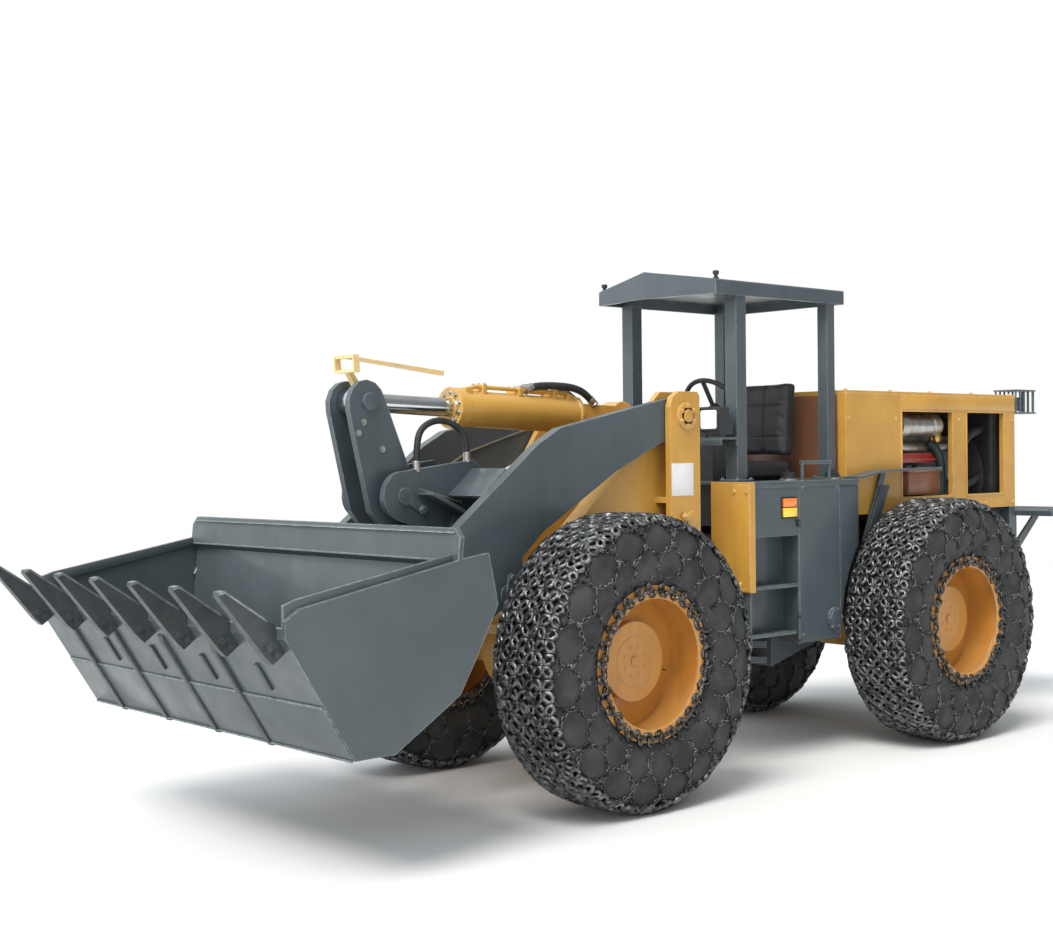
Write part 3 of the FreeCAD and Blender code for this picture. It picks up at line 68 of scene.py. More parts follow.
# Lengths are in metres. Places are written as millimetres from the rear axle, as in the
# CAD source, and at() turns them into the shared frame.
REAR_AXLE_X = 1273.0
WHEEL_BASE = 2294.0
HALF_TRACK = 660.0
AXLE_Z = 620.0
X_WAY, Y_WAY, Z_WAY = Vector((1, 0, 0)), Vector((0, 1, 0)), Vector((0, 0, 1))
BOTH = (1, -1)


def at(x, y, z):
    """A place given in millimetres from the rear axle, on the ground, at the middle."""
    return Vector(((x - REAR_AXLE_X) / 1000, y / 1000, z / 1000))


def circle(across, up, radius, count, closed=False, turned=0.0):
    """Evenly spaced corners round a circle; a closed one ends where it starts."""
    turns = [step * math.tau / count for step in range(count + int(closed))]
    return [(across + radius * math.cos(turn + turned), up + radius * math.sin(turn + turned))
            for turn in turns]


def spoke_at(turn):
    """A wheel's spoke direction, turned from straight ahead."""
    return Vector((math.cos(turn), 0, math.sin(turn)))


# ------------------------------------------------------------------ materials

class Tree:
    """A node tree whose nodes are made with their inputs set or linked."""

    def __init__(self, tree):
        self.tree = tree

    def fill(self, made, inputs):
        for key, value in inputs.items():
            if isinstance(value, bpy.types.NodeSocket):
                self.tree.links.new(value, made.inputs[key])
            else:
                made.inputs[key].default_value = value
        return made

    def node(self, kind, inputs=None, **settings):
        made = self.tree.nodes.new(kind)
        for key, value in settings.items():
            setattr(made, key, value)
        return self.fill(made, inputs or {})

    def ramp(self, value, low, high, first=0.0, last=1.0, **settings):
        return self.node("ShaderNodeMapRange", {
            "Value": value, "From Min": low, "From Max": high, "To Min": first, "To Max": last,
        }, **settings).outputs["Result"]

    def multiply(self, one, two):
        return self.node("ShaderNodeMath", {0: one, 1: two}, operation="MULTIPLY").outputs[0]


class Paintwork(Tree):
    """Builds one node material step by step."""

    def __init__(self, name):
        self.material = bpy.data.materials.new(name)
        self.material.use_nodes = True
        super().__init__(self.material.node_tree)
        self.shader = self.tree.nodes["Principled BSDF"]
        self.place = self.node("ShaderNodeTexCoord").outputs["Object"]

    def noise(self, scale, detail=4.0, roughness=0.55, stretch=None):
        place = self.place
        if stretch:
            place = self.node("ShaderNodeMapping", {"Vector": place, "Scale": stretch}).outputs["Vector"]
        return self.node("ShaderNodeTexNoise", {
            "Vector": place, "Scale": scale, "Detail": detail, "Roughness": roughness}).outputs["Fac"]

    def mix(self, share, one, two):
        """Two colours, or colour sockets, mixed by a share."""
        one, two = ((*end, 1.0) if isinstance(end, tuple) else end for end in (one, two))
        return self.node("ShaderNodeMix", {"Factor": share, 6: one, 7: two}, data_type="RGBA").outputs[2]

    def edges(self, radius):
        """How near a surface lies to one of its own edges, from 0 to 1."""
        bevel = self.node("ShaderNodeBevel", {"Radius": radius}, samples=4)
        plain = self.node("ShaderNodeNewGeometry")
        dot = self.node("ShaderNodeVectorMath", {0: bevel.outputs["Normal"], 1: plain.outputs["Normal"]},
                        operation="DOT_PRODUCT")
        return self.ramp(dot.outputs["Value"], 1.0, 0.905)

    def facing_up(self):
        normal = self.node("ShaderNodeNewGeometry").outputs["Normal"]
        parts = self.node("ShaderNodeSeparateXYZ", {"Vector": normal})
        return self.ramp(parts.outputs["Z"], 0.35, 0.95)

    def bump(self, height, strength, distance):
        made = self.node("ShaderNodeBump", {"Height": height, "Strength": strength,
                                            "Distance": distance})
        self.fill(self.shader, {"Normal": made.outputs["Normal"]})

    def finish(self, colour, rough, metallic=0.0, coat=0.0):
        self.fill(self.shader, {"Base Color": colour, "Roughness": rough, "Metallic": metallic})
        if coat:
            self.fill(self.shader, {"Coat Weight": coat, "Coat Roughness": 0.12})
        return self.material


def paint(name, colour, shade, edge_wear_and_highlight, chip, dust, rough=0.36, edge=0.004, grime=0.35):
    """Sprayed enamel: faint mottling, edges lightened as rubbed paint and as a painted highlight, small
    chips and settled dust.
    """
    work = Paintwork(name)
    mottle = work.ramp(work.noise(2.6, 5.0), 0.35, 0.68)
    base = work.mix(mottle, colour, shade)
    streak = work.ramp(work.noise(9.0, 6.0, 0.62, (1.0, 1.0, 0.18)), 0.5, 0.78, 0.0, grime)
    base = work.mix(streak, base, tuple(part * 0.55 for part in shade))
    specks = work.ramp(work.noise(95.0, 3.0), 0.69, 0.74, 0.0, 0.8)
    patches = work.ramp(work.noise(3.4, 3.0), 0.52, 0.66)
    base = work.mix(work.multiply(specks, patches), base, chip)
    # Edges lighten to the edge colour in noise patches: partly rubbed paint, partly a painted highlight
    # along edges.
    rubbed = work.multiply(work.edges(edge), work.ramp(work.noise(38.0, 4.0), 0.3, 0.62))
    base = work.mix(rubbed, base, edge_wear_and_highlight)
    settled = work.multiply(work.facing_up(), work.ramp(work.noise(5.5, 6.0), 0.3, 0.7, 0.08, 0.4))
    base = work.mix(settled, base, dust)
    work.bump(work.noise(420.0, 2.0), 0.06, 0.0006)
    gloss = work.ramp(work.noise(7.0, 5.0), 0.3, 0.75, rough - 0.07, rough + 0.16)
    return work.finish(base, gloss, 0.0, 0.18)


def steel(name, colour, shade, rough, metallic=0.85, scale=24.0, rust=None, patch=(0.3, 0.7)):
    """Bare or oiled metal with fine scratches and a few stains."""
    work = Paintwork(name)
    base = work.mix(work.ramp(work.noise(scale, 5.0), *patch), colour, shade)
    if rust:
        base = work.mix(work.ramp(work.noise(scale * 1.7, 6.0), 0.55, 0.7, 0.0, 0.65), base, rust)
    work.bump(work.noise(scale * 9, 3.0), 0.12, 0.0008)
    gloss = work.ramp(work.noise(scale * 2.2, 4.0), 0.3, 0.75, max(rough - 0.1, 0.03), rough + 0.12)
    return work.finish(base, gloss, metallic)


def rubber(name, colour, dust_and_sheen):
    """Tyre rubber with a moulded grain and lighter patches at random: partly dust, partly painted sheen.
    """
    work = Paintwork(name)
    base = work.mix(work.ramp(work.noise(7.0, 6.0), 0.38, 0.7), colour, dust_and_sheen)
    work.bump(work.noise(160.0, 4.0), 0.25, 0.0015)
    gloss = work.ramp(work.noise(15.0, 4.0), 0.3, 0.7, 0.55, 0.85)
    return work.finish(base, gloss)


def moulded(name, colour, shade, rough=0.5, grain=300.0):
    """Moulded plastic or vinyl with a fine grain."""
    work = Paintwork(name)
    base = work.mix(work.ramp(work.noise(6.0, 4.0), 0.35, 0.7), colour, shade)
    work.bump(work.noise(grain, 3.0), 0.2, 0.0006)
    gloss = work.ramp(work.noise(9.0, 4.0), 0.3, 0.7, rough - 0.08, rough + 0.14)
    return work.finish(base, gloss)


def vinyl(name, colour, shade):
    """Seat vinyl: soft creases over a leathery grain."""
    work = Paintwork(name)
    base = work.mix(work.ramp(work.noise(5.0, 4.0), 0.35, 0.7), colour, shade)
    cells = work.node("ShaderNodeTexVoronoi", {"Vector": work.place, "Scale": 260.0},
                      feature="DISTANCE_TO_EDGE")
    work.bump(work.ramp(cells.outputs["Distance"], 0.0, 0.25), 0.35, 0.0006)
    return work.finish(base, work.ramp(work.noise(12.0), 0.3, 0.7, 0.42, 0.62))


def lens(name, colour, glow):
    """A ribbed lamp lens, clear over its reflector."""
    work = Paintwork(name)
    wave = work.node("ShaderNodeTexWave", {"Vector": work.place, "Scale": 60.0}, bands_direction="Y")
    base = work.mix(wave.outputs["Fac"], colour, tuple(part * 0.7 for part in colour))
    work.bump(wave.outputs["Fac"], 0.4, 0.002)
    work.fill(work.shader, {"Emission Color": (*colour, 1.0), "Emission Strength": glow})
    return work.finish(base, 0.12, 0.0, 0.6)


# Each paint's fourth colour goes on its edges: rubbed paint and a painted highlight.
SLATE = paint("slate_enamel", (0.072, 0.092, 0.104), (0.055, 0.073, 0.083), (0.30, 0.36, 0.38),
              (0.16, 0.15, 0.14), (0.20, 0.215, 0.21), rough=0.38)
BUCKET_PAINT = paint("bucket_enamel", (0.078, 0.098, 0.106), (0.058, 0.075, 0.082),
                     (0.34, 0.40, 0.42), (0.20, 0.19, 0.17), (0.19, 0.215, 0.215), rough=0.4, edge=0.006)
YELLOW = paint("chrome_yellow_enamel", (0.63, 0.345, 0.062), (0.51, 0.26, 0.043),
               (0.84, 0.66, 0.36), (0.22, 0.12, 0.05), (0.64, 0.52, 0.29), rough=0.36, grime=0.25)
RIM_YELLOW = paint("rim_enamel", (0.60, 0.28, 0.050), (0.46, 0.19, 0.032), (0.45, 0.28, 0.14),
                   (0.10, 0.055, 0.03), (0.50, 0.35, 0.17), rough=0.38, edge=0.012, grime=0.5)
CREAM = paint("cream_enamel", (0.85, 0.62, 0.28), (0.74, 0.50, 0.20), (0.9, 0.8, 0.55),
              (0.3, 0.2, 0.1), (0.8, 0.65, 0.4), rough=0.4)
# The chain steels mix light grey and near black in hard noise patches: partly the steel's own tone,
# partly painted glints on the links.
CHAIN_STEEL_AND_GLINTS = steel("chain_steel", (0.25, 0.255, 0.26), (0.040, 0.041, 0.042), 0.44, 0.8, 34.0,
                    (0.040, 0.034, 0.030), (0.40, 0.58))
SIDE_CHAIN_AND_GLINTS = steel("side_chain_steel", (0.16, 0.163, 0.166), (0.030, 0.031, 0.032), 0.42, 0.8, 30.0,
                   (0.040, 0.034, 0.030), (0.40, 0.60))
# Ground steel: rubbed lip edges, and the teeth's top edges as wear and a painted highlight.
WORN_AND_HIGHLIT_STEEL = steel("ground_steel", (0.36, 0.39, 0.40), (0.16, 0.18, 0.185), 0.4, 0.7, 26.0,
                   (0.11, 0.10, 0.09))
DARK_STEEL = steel("dark_steel", (0.055, 0.06, 0.064), (0.035, 0.038, 0.04), 0.5, 0.5, 20.0)
TOOTH_STEEL = steel("tooth_steel", (0.075, 0.088, 0.094), (0.05, 0.058, 0.062), 0.45, 0.35, 18.0,
                    (0.09, 0.075, 0.06))
CHROME = steel("chrome_rod", (0.66, 0.68, 0.70), (0.52, 0.54, 0.56), 0.14, 1.0, 10.0)
ZINC = steel("zinc_fittings", (0.50, 0.49, 0.46), (0.34, 0.33, 0.31), 0.34, 0.9, 40.0)
CAST = steel("cast_grey", (0.20, 0.205, 0.21), (0.11, 0.115, 0.12), 0.55, 0.35, 16.0, (0.12, 0.07, 0.04))
# The rubber's lighter second tone is dust and painted sheen, in random patches.
RUBBER = rubber("tyre_rubber", (0.018, 0.020, 0.020), (0.053, 0.055, 0.053))
HOSE = moulded("hose_rubber", (0.016, 0.016, 0.017), (0.030, 0.030, 0.031), 0.48, 500.0)
BLACK = moulded("black_plastic", (0.020, 0.021, 0.022), (0.035, 0.036, 0.037), 0.42)
VINYL = vinyl("seat_vinyl", (0.022, 0.023, 0.025), (0.035, 0.036, 0.038))
WHITE = paint("white_plate", (0.86, 0.86, 0.84), (0.80, 0.80, 0.78), (0.5, 0.5, 0.5),
              (0.35, 0.3, 0.25), (0.7, 0.68, 0.62), rough=0.45)
CLEAR_LENS = lens("clear_lens", (0.90, 0.93, 0.95), 0.45)
AMBER_LENS = lens("amber_lens", (0.85, 0.22, 0.03), 0.2)
YELLOW_LENS = lens("yellow_lens", (0.9, 0.6, 0.05), 0.2)
RED_LENS = lens("red_lens", (0.55, 0.02, 0.015), 0.12)
RED_PAINT = paint("red_enamel", (0.42, 0.03, 0.02), (0.33, 0.025, 0.018), (0.6, 0.3, 0.25),
                  (0.12, 0.06, 0.05), (0.4, 0.2, 0.15))
GREEN_HOSE = moulded("green_hose_rubber", (0.018, 0.040, 0.032), (0.030, 0.058, 0.046), 0.5)
BRASS = steel("brass_fittings", (0.62, 0.42, 0.13), (0.45, 0.29, 0.09), 0.3, 0.9, 30.0)
# Brown enamel: on the engine's side tanks, and as painted shade on the hood's front wall.
COPPER = paint("brown_enamel", (0.28, 0.12, 0.06), (0.2, 0.085, 0.045), (0.5, 0.3, 0.2),
               (0.1, 0.06, 0.04), (0.3, 0.2, 0.14))

CAD_FINISH = {
    "bucket": BUCKET_PAINT, "bucket_teeth": TOOTH_STEEL, "lift_arms": SLATE, "bellcrank": SLATE,
    "tilt_link": SLATE, "tilt_barrel": YELLOW, "tilt_rod": CHROME, "level_indicator": CREAM,
    "front_frame": YELLOW, "front_axle": YELLOW, "rear_axle": YELLOW, "rear_frame": SLATE,
    "counterweight": SLATE, "engine_block": CAST, "gearbox": CAST, "radiator": DARK_STEEL,
    "front_drive_shaft": DARK_STEEL, "rear_drive_shaft": DARK_STEEL, "bonnet_frame": YELLOW,
    "bonnet_top": YELLOW, "operator_deck": SLATE, "left_tank": SLATE, "right_tank": SLATE,
    "battery_box": SLATE, "left_steps": SLATE, "canopy_posts": SLATE, "canopy_roof": SLATE,
    "seat_base": BLACK, "control_console": DARK_STEEL, "steering_wheel": BLACK,
    "head_lamps": DARK_STEEL, "rear_lamps": DARK_STEEL, "rear_fenders": SLATE,
    "grab_rails": SLATE, "filler_caps": DARK_STEEL, "station_apron": YELLOW,
}
for node_name, node in nodes.items():
    finish = CAD_FINISH.get(node_name)
    if node_name.endswith("_rim"):
        finish = RIM_YELLOW
    elif node_name.endswith("_rod"):
        finish = CHROME
    elif node_name.endswith("_barrel"):
        finish = YELLOW
    elif node_name.endswith("_tyre"):
        finish = RUBBER
    elif node_name.startswith("seat_") and finish is None:
        finish = VINYL
    node.data.materials.clear()
    node.data.materials.append(finish or SLATE)


# ------------------------------------------------------------------ making pieces

def keep(piece, body):
    """Let a finished piece move with a CAD body."""
    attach(piece, body)
    return piece


class Shape:
    """Gathers solid forms into one mesh. Lengths are millimetres in machine coordinates."""

    def __init__(self):
        self.mesh = bmesh.new()

    def faces(self, corners, faces):
        made = [self.mesh.verts.new(corner) for corner in corners]
        for face in faces:
            self.mesh.faces.new([made[index] for index in face])
        return made

    def prism(self, lower, upper):
        """A closed solid between two outlines with the same number of corners."""
        count = len(lower)
        sides = [(i, (i + 1) % count, count + (i + 1) % count, count + i) for i in range(count)]
        ends = [tuple(reversed(range(count))), tuple(range(count, 2 * count))]
        return self.faces(list(lower) + list(upper), sides + ends)

    def box(self, x0, x1, y0, y1, z0, z1):
        ring = ((x0, y0), (x1, y0), (x1, y1), (x0, y1))
        return self.prism([at(x, y, z0) for x, y in ring], [at(x, y, z1) for x, y in ring])

    def grid(self, rings, sides, closed=False):
        """Skin between rings of corners: round on itself when closed, else capped at both ends."""
        last = len(rings) if closed else len(rings) - 1
        made = [(ring * sides + cut, ring * sides + (cut + 1) % sides,
                 (ring + 1) % len(rings) * sides + (cut + 1) % sides,
                 (ring + 1) % len(rings) * sides + cut)
                for ring in range(last) for cut in range(sides)]
        if not closed:
            made += [tuple(reversed(range(sides))), tuple(range(last * sides, (last + 1) * sides))]
        return self.faces([corner for ring in rings for corner in ring], made)

    def side(self, y0, y1, outline):
        """An XZ outline as a plate from y0 to y1."""
        return self.prism([at(x, y0, z) for x, z in outline], [at(x, y1, z) for x, z in outline])

    def cheek(self, side, inner, outer, outline):
        """An XZ plate on one side of the machine; side is 1 for the left and -1 for the right."""
        return self.side(*sorted((side * inner, side * outer)), outline)

    def front(self, x0, x1, outline):
        return self.prism([at(x0, y, z) for y, z in outline], [at(x1, y, z) for y, z in outline])

    def plan(self, z0, z1, outline):
        return self.prism([at(x, y, z0) for x, y in outline], [at(x, y, z1) for x, y in outline])

    def lathe(self, start, end, profile, sides=32):
        """A turned form: (distance from start in mm, radius in mm) along start to end."""
        start, end = at(*start), at(*end)
        axis = (end - start).normalized()
        helper = Z_WAY if abs(axis.z) < 0.9 else X_WAY
        u = axis.cross(helper).normalized()
        v = axis.cross(u)
        rings = []
        for along, radius in profile:
            middle = start + axis * (along / 1000)
            rings.append([middle + u * x + v * y for x, y in circle(0, 0, radius / 1000, sides)])
        return self.grid(rings, sides)

    def rod(self, start, end, radius, sides=16, ease=0.0):
        length = (at(*end) - at(*start)).length * 1000
        profile = ((0, radius), (length, radius))
        if ease:
            profile = ((0, radius - ease), (ease, radius), (length - ease, radius),
                       (length, radius - ease))
        return self.lathe(start, end, profile, sides)

    def pipe(self, points, radius, sides=10, bend=3):
        """A bent tube through corner points, each corner rounded over a few rings."""
        spots = [at(*point) for point in points]
        line = [spots[0]]
        for before, corner, after in zip(spots, spots[1:], spots[2:]):
            reach = min((corner - before).length, (after - corner).length) * 0.45
            reach = min(reach, radius / 1000 * 4)
            first = corner + (before - corner).normalized() * reach
            last = corner + (after - corner).normalized() * reach
            for step in range(bend + 1):
                share = step / bend
                line.append(first.lerp(corner, share).lerp(corner.lerp(last, share), share))
        line.append(spots[-1])
        rings, side = [], None
        for index, spot in enumerate(line):
            ahead = (line[min(index + 1, len(line) - 1)] - line[max(index - 1, 0)]).normalized()
            if side is None:
                side = ahead.cross(Z_WAY if abs(ahead.z) < 0.9 else X_WAY).normalized()
            side = (side - ahead * side.dot(ahead)).normalized()
            other = ahead.cross(side)
            rings.append([spot + side * x + other * y for x, y in circle(0, 0, radius / 1000, sides)])
        return self.grid(rings, sides)

    def around(self, x, y, side, section, steps=72):
        """A ring about a wheel's axis; the section is (radius, distance outwards from y)."""
        rings = [[at(x + run * reach, y + side * out, AXLE_Z + rise * reach) for reach, out in section]
                 for run, rise in circle(0, 0, 1, steps)]
        return self.grid(rings, len(section), closed=True)

    def done(self, name, finish, body, bevel=0.0, slot=None, angle=32.0):
        """Close the mesh, face it outwards, round its edges and let it ride."""
        bmesh.ops.recalc_face_normals(self.mesh, faces=self.mesh.faces)
        data = bpy.data.meshes.new(name)
        self.mesh.to_mesh(data)
        self.mesh.free()
        piece = new_piece(name, data)
        data.materials.append(finish)
        if bevel:
            rounder = piece.modifiers.new("eased_edges", "BEVEL")
            rounder.width, rounder.segments = bevel / 1000, 2
            rounder.limit_method, rounder.angle_limit = "ANGLE", math.radians(35)
            settle(piece)
        shade(piece, angle)
        return keep(piece, body)


def new_piece(name, data):
    piece = bpy.data.objects.new(name, data)
    bpy.context.scene.collection.objects.link(piece)
    return piece


def settle(piece):
    """Replace a piece's mesh by its evaluated one and drop its modifiers."""
    graph = bpy.context.evaluated_depsgraph_get()
    final = bpy.data.meshes.new_from_object(piece.evaluated_get(graph), depsgraph=graph)
    old = piece.data
    piece.modifiers.clear()
    piece.data = final
    bpy.data.meshes.remove(old)
    return piece


def shade(piece, angle):
    """Smooth across gentle bends and keep sharp corners sharp."""
    data = piece.data
    data.shade_smooth()
    work = bmesh.new()
    work.from_mesh(data)
    limit = math.radians(angle)
    for edge in work.edges:
        if len(edge.link_faces) == 2:
            edge.smooth = edge.calc_face_angle(0.0) < limit
    work.to_mesh(data)
    work.free()


# ------------------------------------------------------------------ repeated small parts

class Graph(Tree):
    """A Geometry Nodes tree with named inputs."""

    def __init__(self, name):
        super().__init__(bpy.data.node_groups.new(name, "GeometryNodeTree"))
        for way in ("INPUT", "OUTPUT"):
            self.tree.interface.new_socket("Geometry", in_out=way, socket_type="NodeSocketGeometry")
        self.source = self.node("NodeGroupInput")

    def size(self, name, value):
        socket = self.tree.interface.new_socket(name, in_out="INPUT", socket_type="NodeSocketFloat")
        socket.default_value = value
        return self.source.outputs[name]

    def attribute(self, name):
        made = self.node("GeometryNodeInputNamedAttribute", {"Name": name}, data_type="FLOAT_VECTOR")
        return made.outputs["Attribute"]

    def place(self, instance, finish):
        """Set the form on every point, its X along the point's run and its Z outwards."""
        along = self.node("FunctionNodeAlignRotationToVector", {"Vector": self.attribute("along")},
                          axis="X")
        out = self.node("FunctionNodeAlignRotationToVector", {
            "Rotation": along.outputs[0], "Vector": self.attribute("out")}, axis="Z", pivot_axis="X")
        spread = self.node("GeometryNodeInstanceOnPoints", {
            "Points": self.source.outputs["Geometry"], "Instance": instance,
            "Rotation": out.outputs[0], "Scale": self.attribute("size")})
        real = self.node("GeometryNodeRealizeInstances", {0: spread.outputs[0]})
        dress = self.node("GeometryNodeSetMaterial", {"Geometry": real.outputs[0], "Material": finish})
        self.node("NodeGroupOutput", {0: dress.outputs[0]})
        return self.tree


def loop_graph(name, finish, length, width, wire_width, wire_height, squared=False):
    """A closed oval of flat or round bar: a chain's wear link, a round link or a ring."""
    graph = Graph(name)
    long, wide = graph.size("Link length", length), graph.size("Link width", width)
    bar, tall = graph.size("Bar width", wire_width), graph.size("Bar height", wire_height)
    oval = graph.node("GeometryNodeCurvePrimitiveQuadrilateral", {"Width": long, "Height": wide})
    round_off = graph.node("GeometryNodeFilletCurve", {
        "Curve": oval.outputs[0], "Count": 1, "Radius": graph.multiply(wide, 0.49)}, mode="POLY")
    if squared:
        section = graph.node("GeometryNodeCurvePrimitiveQuadrilateral", {"Width": tall, "Height": bar})
    else:
        section = graph.node("GeometryNodeCurvePrimitiveCircle", {"Resolution": 5, "Radius": bar})
    sweep = graph.node("GeometryNodeCurveToMesh", {
        "Curve": round_off.outputs[0], "Profile Curve": section.outputs[0]})
    return graph.place(sweep.outputs[0], finish)


def bolt_graph(name, finish, radius, height, sides=6):
    """A hexagon head on a round washer."""
    graph = Graph(name)
    reach, rise = graph.size("Head radius", radius), graph.size("Head height", height)
    head = graph.node("GeometryNodeMeshCone", {
        "Vertices": sides, "Radius Top": graph.multiply(reach, 0.9), "Radius Bottom": reach,
        "Depth": rise})
    washer = graph.node("GeometryNodeMeshCylinder", {
        "Vertices": 14, "Radius": graph.multiply(reach, 1.4), "Depth": graph.multiply(rise, 0.3)})
    both = graph.node("GeometryNodeJoinGeometry", {0: head.outputs["Mesh"]})
    graph.fill(both, {0: washer.outputs["Mesh"]})
    return graph.place(both.outputs[0], finish)


def fin_graph(name, finish, deep, long, thick):
    """A thin cooling fin lying across a core."""
    graph = Graph(name)
    size = graph.node("ShaderNodeCombineXYZ", {
        "X": graph.size("Fin length", long), "Y": graph.size("Fin thickness", thick),
        "Z": graph.size("Fin depth", deep)})
    fin = graph.node("GeometryNodeMeshCube", {"Size": size.outputs[0]})
    return graph.place(fin.outputs["Mesh"], finish)


PLAIN_SIZE = (1, 1, 1)


def spread(name, tree, spots, body):
    """Put a form at each spot (place, along, out and, if not plain, size) and keep one plain mesh."""
    data = bpy.data.meshes.new(name)
    data.from_pydata([tuple(spot[0]) for spot in spots], [], [])
    for index, key in enumerate(("along", "out", "size"), 1):
        layer = data.attributes.new(key, "FLOAT_VECTOR", "POINT")
        layer.data.foreach_set("vector", [part for spot in spots for part in (*spot, PLAIN_SIZE)[index]])
    piece = new_piece(name, data)
    piece.modifiers.new("spread", "NODES").node_group = tree
    settle(piece)
    for key in ("along", "out", "size"):
        if key in piece.data.attributes:
            piece.data.attributes.remove(piece.data.attributes[key])
    return keep(piece, body)


# ------------------------------------------------------------------ seat

def seat_pad(name, node, shrink, cap, pressure, channels, crown):
    """A stuffed pad: blown up by cloth, capped, softened, then pressed into sewn channels."""
    low, high = (Vector(corner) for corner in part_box(node))
    work = bmesh.new()
    work.from_mesh(nodes[node].data)
    bmesh.ops.remove_doubles(work, verts=work.verts, dist=1e-6)
    middle, half = (low + high) / 2, (high - low) / 2
    for vert in work.verts:
        for axis in range(3):
            away = vert.co[axis] - middle[axis]
            vert.co[axis] = middle[axis] + away * (half[axis] - shrink[axis]) / half[axis]
    data = bpy.data.meshes.new(name)
    work.to_mesh(data)
    work.free()
    piece = new_piece(name, data)
    eased = piece.modifiers.new("eased", "BEVEL")
    eased.width, eased.segments, eased.limit_method = 0.022, 3, "ANGLE"
    mesh_again = piece.modifiers.new("even", "REMESH")
    mesh_again.mode, mesh_again.voxel_size = "VOXEL", 0.0075
    settle(piece)
    start = [vert.co.copy() for vert in piece.data.vertices]
    cloth = piece.modifiers.new("stuffing", "CLOTH")
    cloth.settings.use_pressure = True
    cloth.settings.uniform_pressure_force = pressure
    cloth.settings.effector_weights.gravity = 0.0
    cloth.settings.quality = 5
    cloth.point_cache.frame_start, cloth.point_cache.frame_end = 1, 20
    for step in range(1, 21):
        bpy.context.scene.frame_set(step)
    settle(piece)
    bpy.context.scene.frame_set(1)
    for vert, home in zip(piece.data.vertices, start):
        away = vert.co - home
        if away.length > cap:
            vert.co = home + away.normalized() * cap
    piece.data.update()
    softer = piece.modifiers.new("softer", "SUBSURF")
    softer.levels = softer.render_levels = 1
    settle(piece)
    for vert in piece.data.vertices:
        spot = vert.co
        share_y = max(-1.0, min(1.0, (spot.y - middle.y) / half.y))
        rise = (1 - share_y ** 2) * crown
        groove = 0.0
        for place, is_side in channels:
            away = (spot.y if is_side else spot[0 if node == "seat_cushion" else 2]) - place
            groove += 0.007 * math.exp(-(away / 0.007) ** 2)
        normal = vert.normal
        top = max(0.0, normal.z if node == "seat_cushion" else normal.x)
        out = Z_WAY if node == "seat_cushion" else X_WAY
        vert.co = spot + out * ((rise - groove) * top)
    for vert in piece.data.vertices:
        for axis in range(3):
            vert.co[axis] = max(low[axis] + 0.0005, min(high[axis] - 0.0005, vert.co[axis]))
    piece.data.materials.clear()
    piece.data.materials.append(VINYL)
    piece.data.shade_smooth()
    keep(piece, "rear_section")
    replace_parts(piece, node)
    return piece


seat_pad("seat_cushion_pad", "seat_cushion", (0.014, 0.014, 0.016), 0.016, 4.0,
         ((at(0, -75, 0).y, True), (at(0, 75, 0).y, True), (at(740, 0, 0).x, False),
          (at(880, 0, 0).x, False)), 0.012)
seat_pad("seat_back_pad", "seat_backrest", (0.012, 0.014, 0.016), 0.016, 4.0,
         ((at(0, -75, 0).y, True), (at(0, 75, 0).y, True), (1.560, False), (1.720, False)), 0.010)


# ------------------------------------------------------------------ tyres and their chains

# The tyre's half section as (radius, distance from the middle), to the outside of its chain.
TYRE_SECTION = ((331, 160), (360, 181), (406, 201), (476, 205), (531, 199), (580, 185), (608, 157),
                (620, 120))
CHAIN_SINK = 11.0
RUBBER_SINK = 19.0
CHAIN_LIMIT = 619.6
NET_COLUMNS = 38
TREAD_STEP = 48.0
TREAD_ROWS = 4


def tyre_path():
    """(radius, offset, outward radius, outward offset, run) from the crown's middle to the flange."""
    outline = [(620.0, 0.0)] + [tuple(map(float, spot)) for spot in reversed(TYRE_SECTION)]
    fine = []
    for first, last in zip(outline, outline[1:]):
        length = math.hypot(last[0] - first[0], last[1] - first[1])
        steps = max(int(length / 4), 1)
        for step in range(steps):
            share = step / steps
            fine.append((first[0] + (last[0] - first[0]) * share,
                         first[1] + (last[1] - first[1]) * share))
    fine.append(outline[-1])
    path, run = [], 0.0
    for index, spot in enumerate(fine):
        before, after = fine[max(index - 4, 0)], fine[min(index + 4, len(fine) - 1)]
        along = Vector((after[0] - before[0], after[1] - before[1])).normalized()
        if index:
            run += math.hypot(spot[0] - fine[index - 1][0], spot[1] - fine[index - 1][1])
        path.append((spot[0], spot[1], along.y, -along.x, run))
    return path


PATH = tyre_path()


def on_tyre(run, turn, sink):
    """A place and outward direction on the tyre, by run across it and turn round it."""
    side = -1.0 if run < 0 else 1.0
    run = abs(run)
    spot = min(PATH, key=lambda item: abs(item[4] - run))
    radius, offset, out_r, out_y = spot[0], spot[1], spot[2], spot[3]
    radius, offset = radius - out_r * sink, offset - out_y * sink
    spoke = spoke_at(turn)
    return (spoke * (radius / 1000) + Y_WAY * (side * offset / 1000),
            (spoke * out_r + Y_WAY * (side * out_y)).normalized())


def tyre_rubber(name, centre, body, node):
    """The tyre under its chain, with a shallow lugged tread."""
    half_ring = list(TYRE_SECTION)
    ring = half_ring + [(radius, -offset) for radius, offset in reversed(half_ring)]
    steps = 126
    rows = []
    for index, (radius, offset) in enumerate(ring):
        sink = RUBBER_SINK if 0 < index < len(ring) - 1 else 4.0
        side = math.copysign(1.0, offset)
        radial = 1.0 if radius > 600 else 0.55
        row = []
        for step in range(steps):
            lug = 9.0 if radius > 575 and (step + (3 if side > 0 else 0)) % 6 < 2 else 0.0
            reach = (radius - sink * radial - lug) / 1000
            out = (offset - side * sink * (0.0 if radius > 615 else 0.75)) / 1000
            row.append(centre + spoke_at(step * math.tau / steps) * reach + Y_WAY * out)
        rows.append(row)
    tyre = Shape()
    tyre.grid(rows, steps, closed=True)
    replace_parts(tyre.done(name, RUBBER, body, angle=40), node)


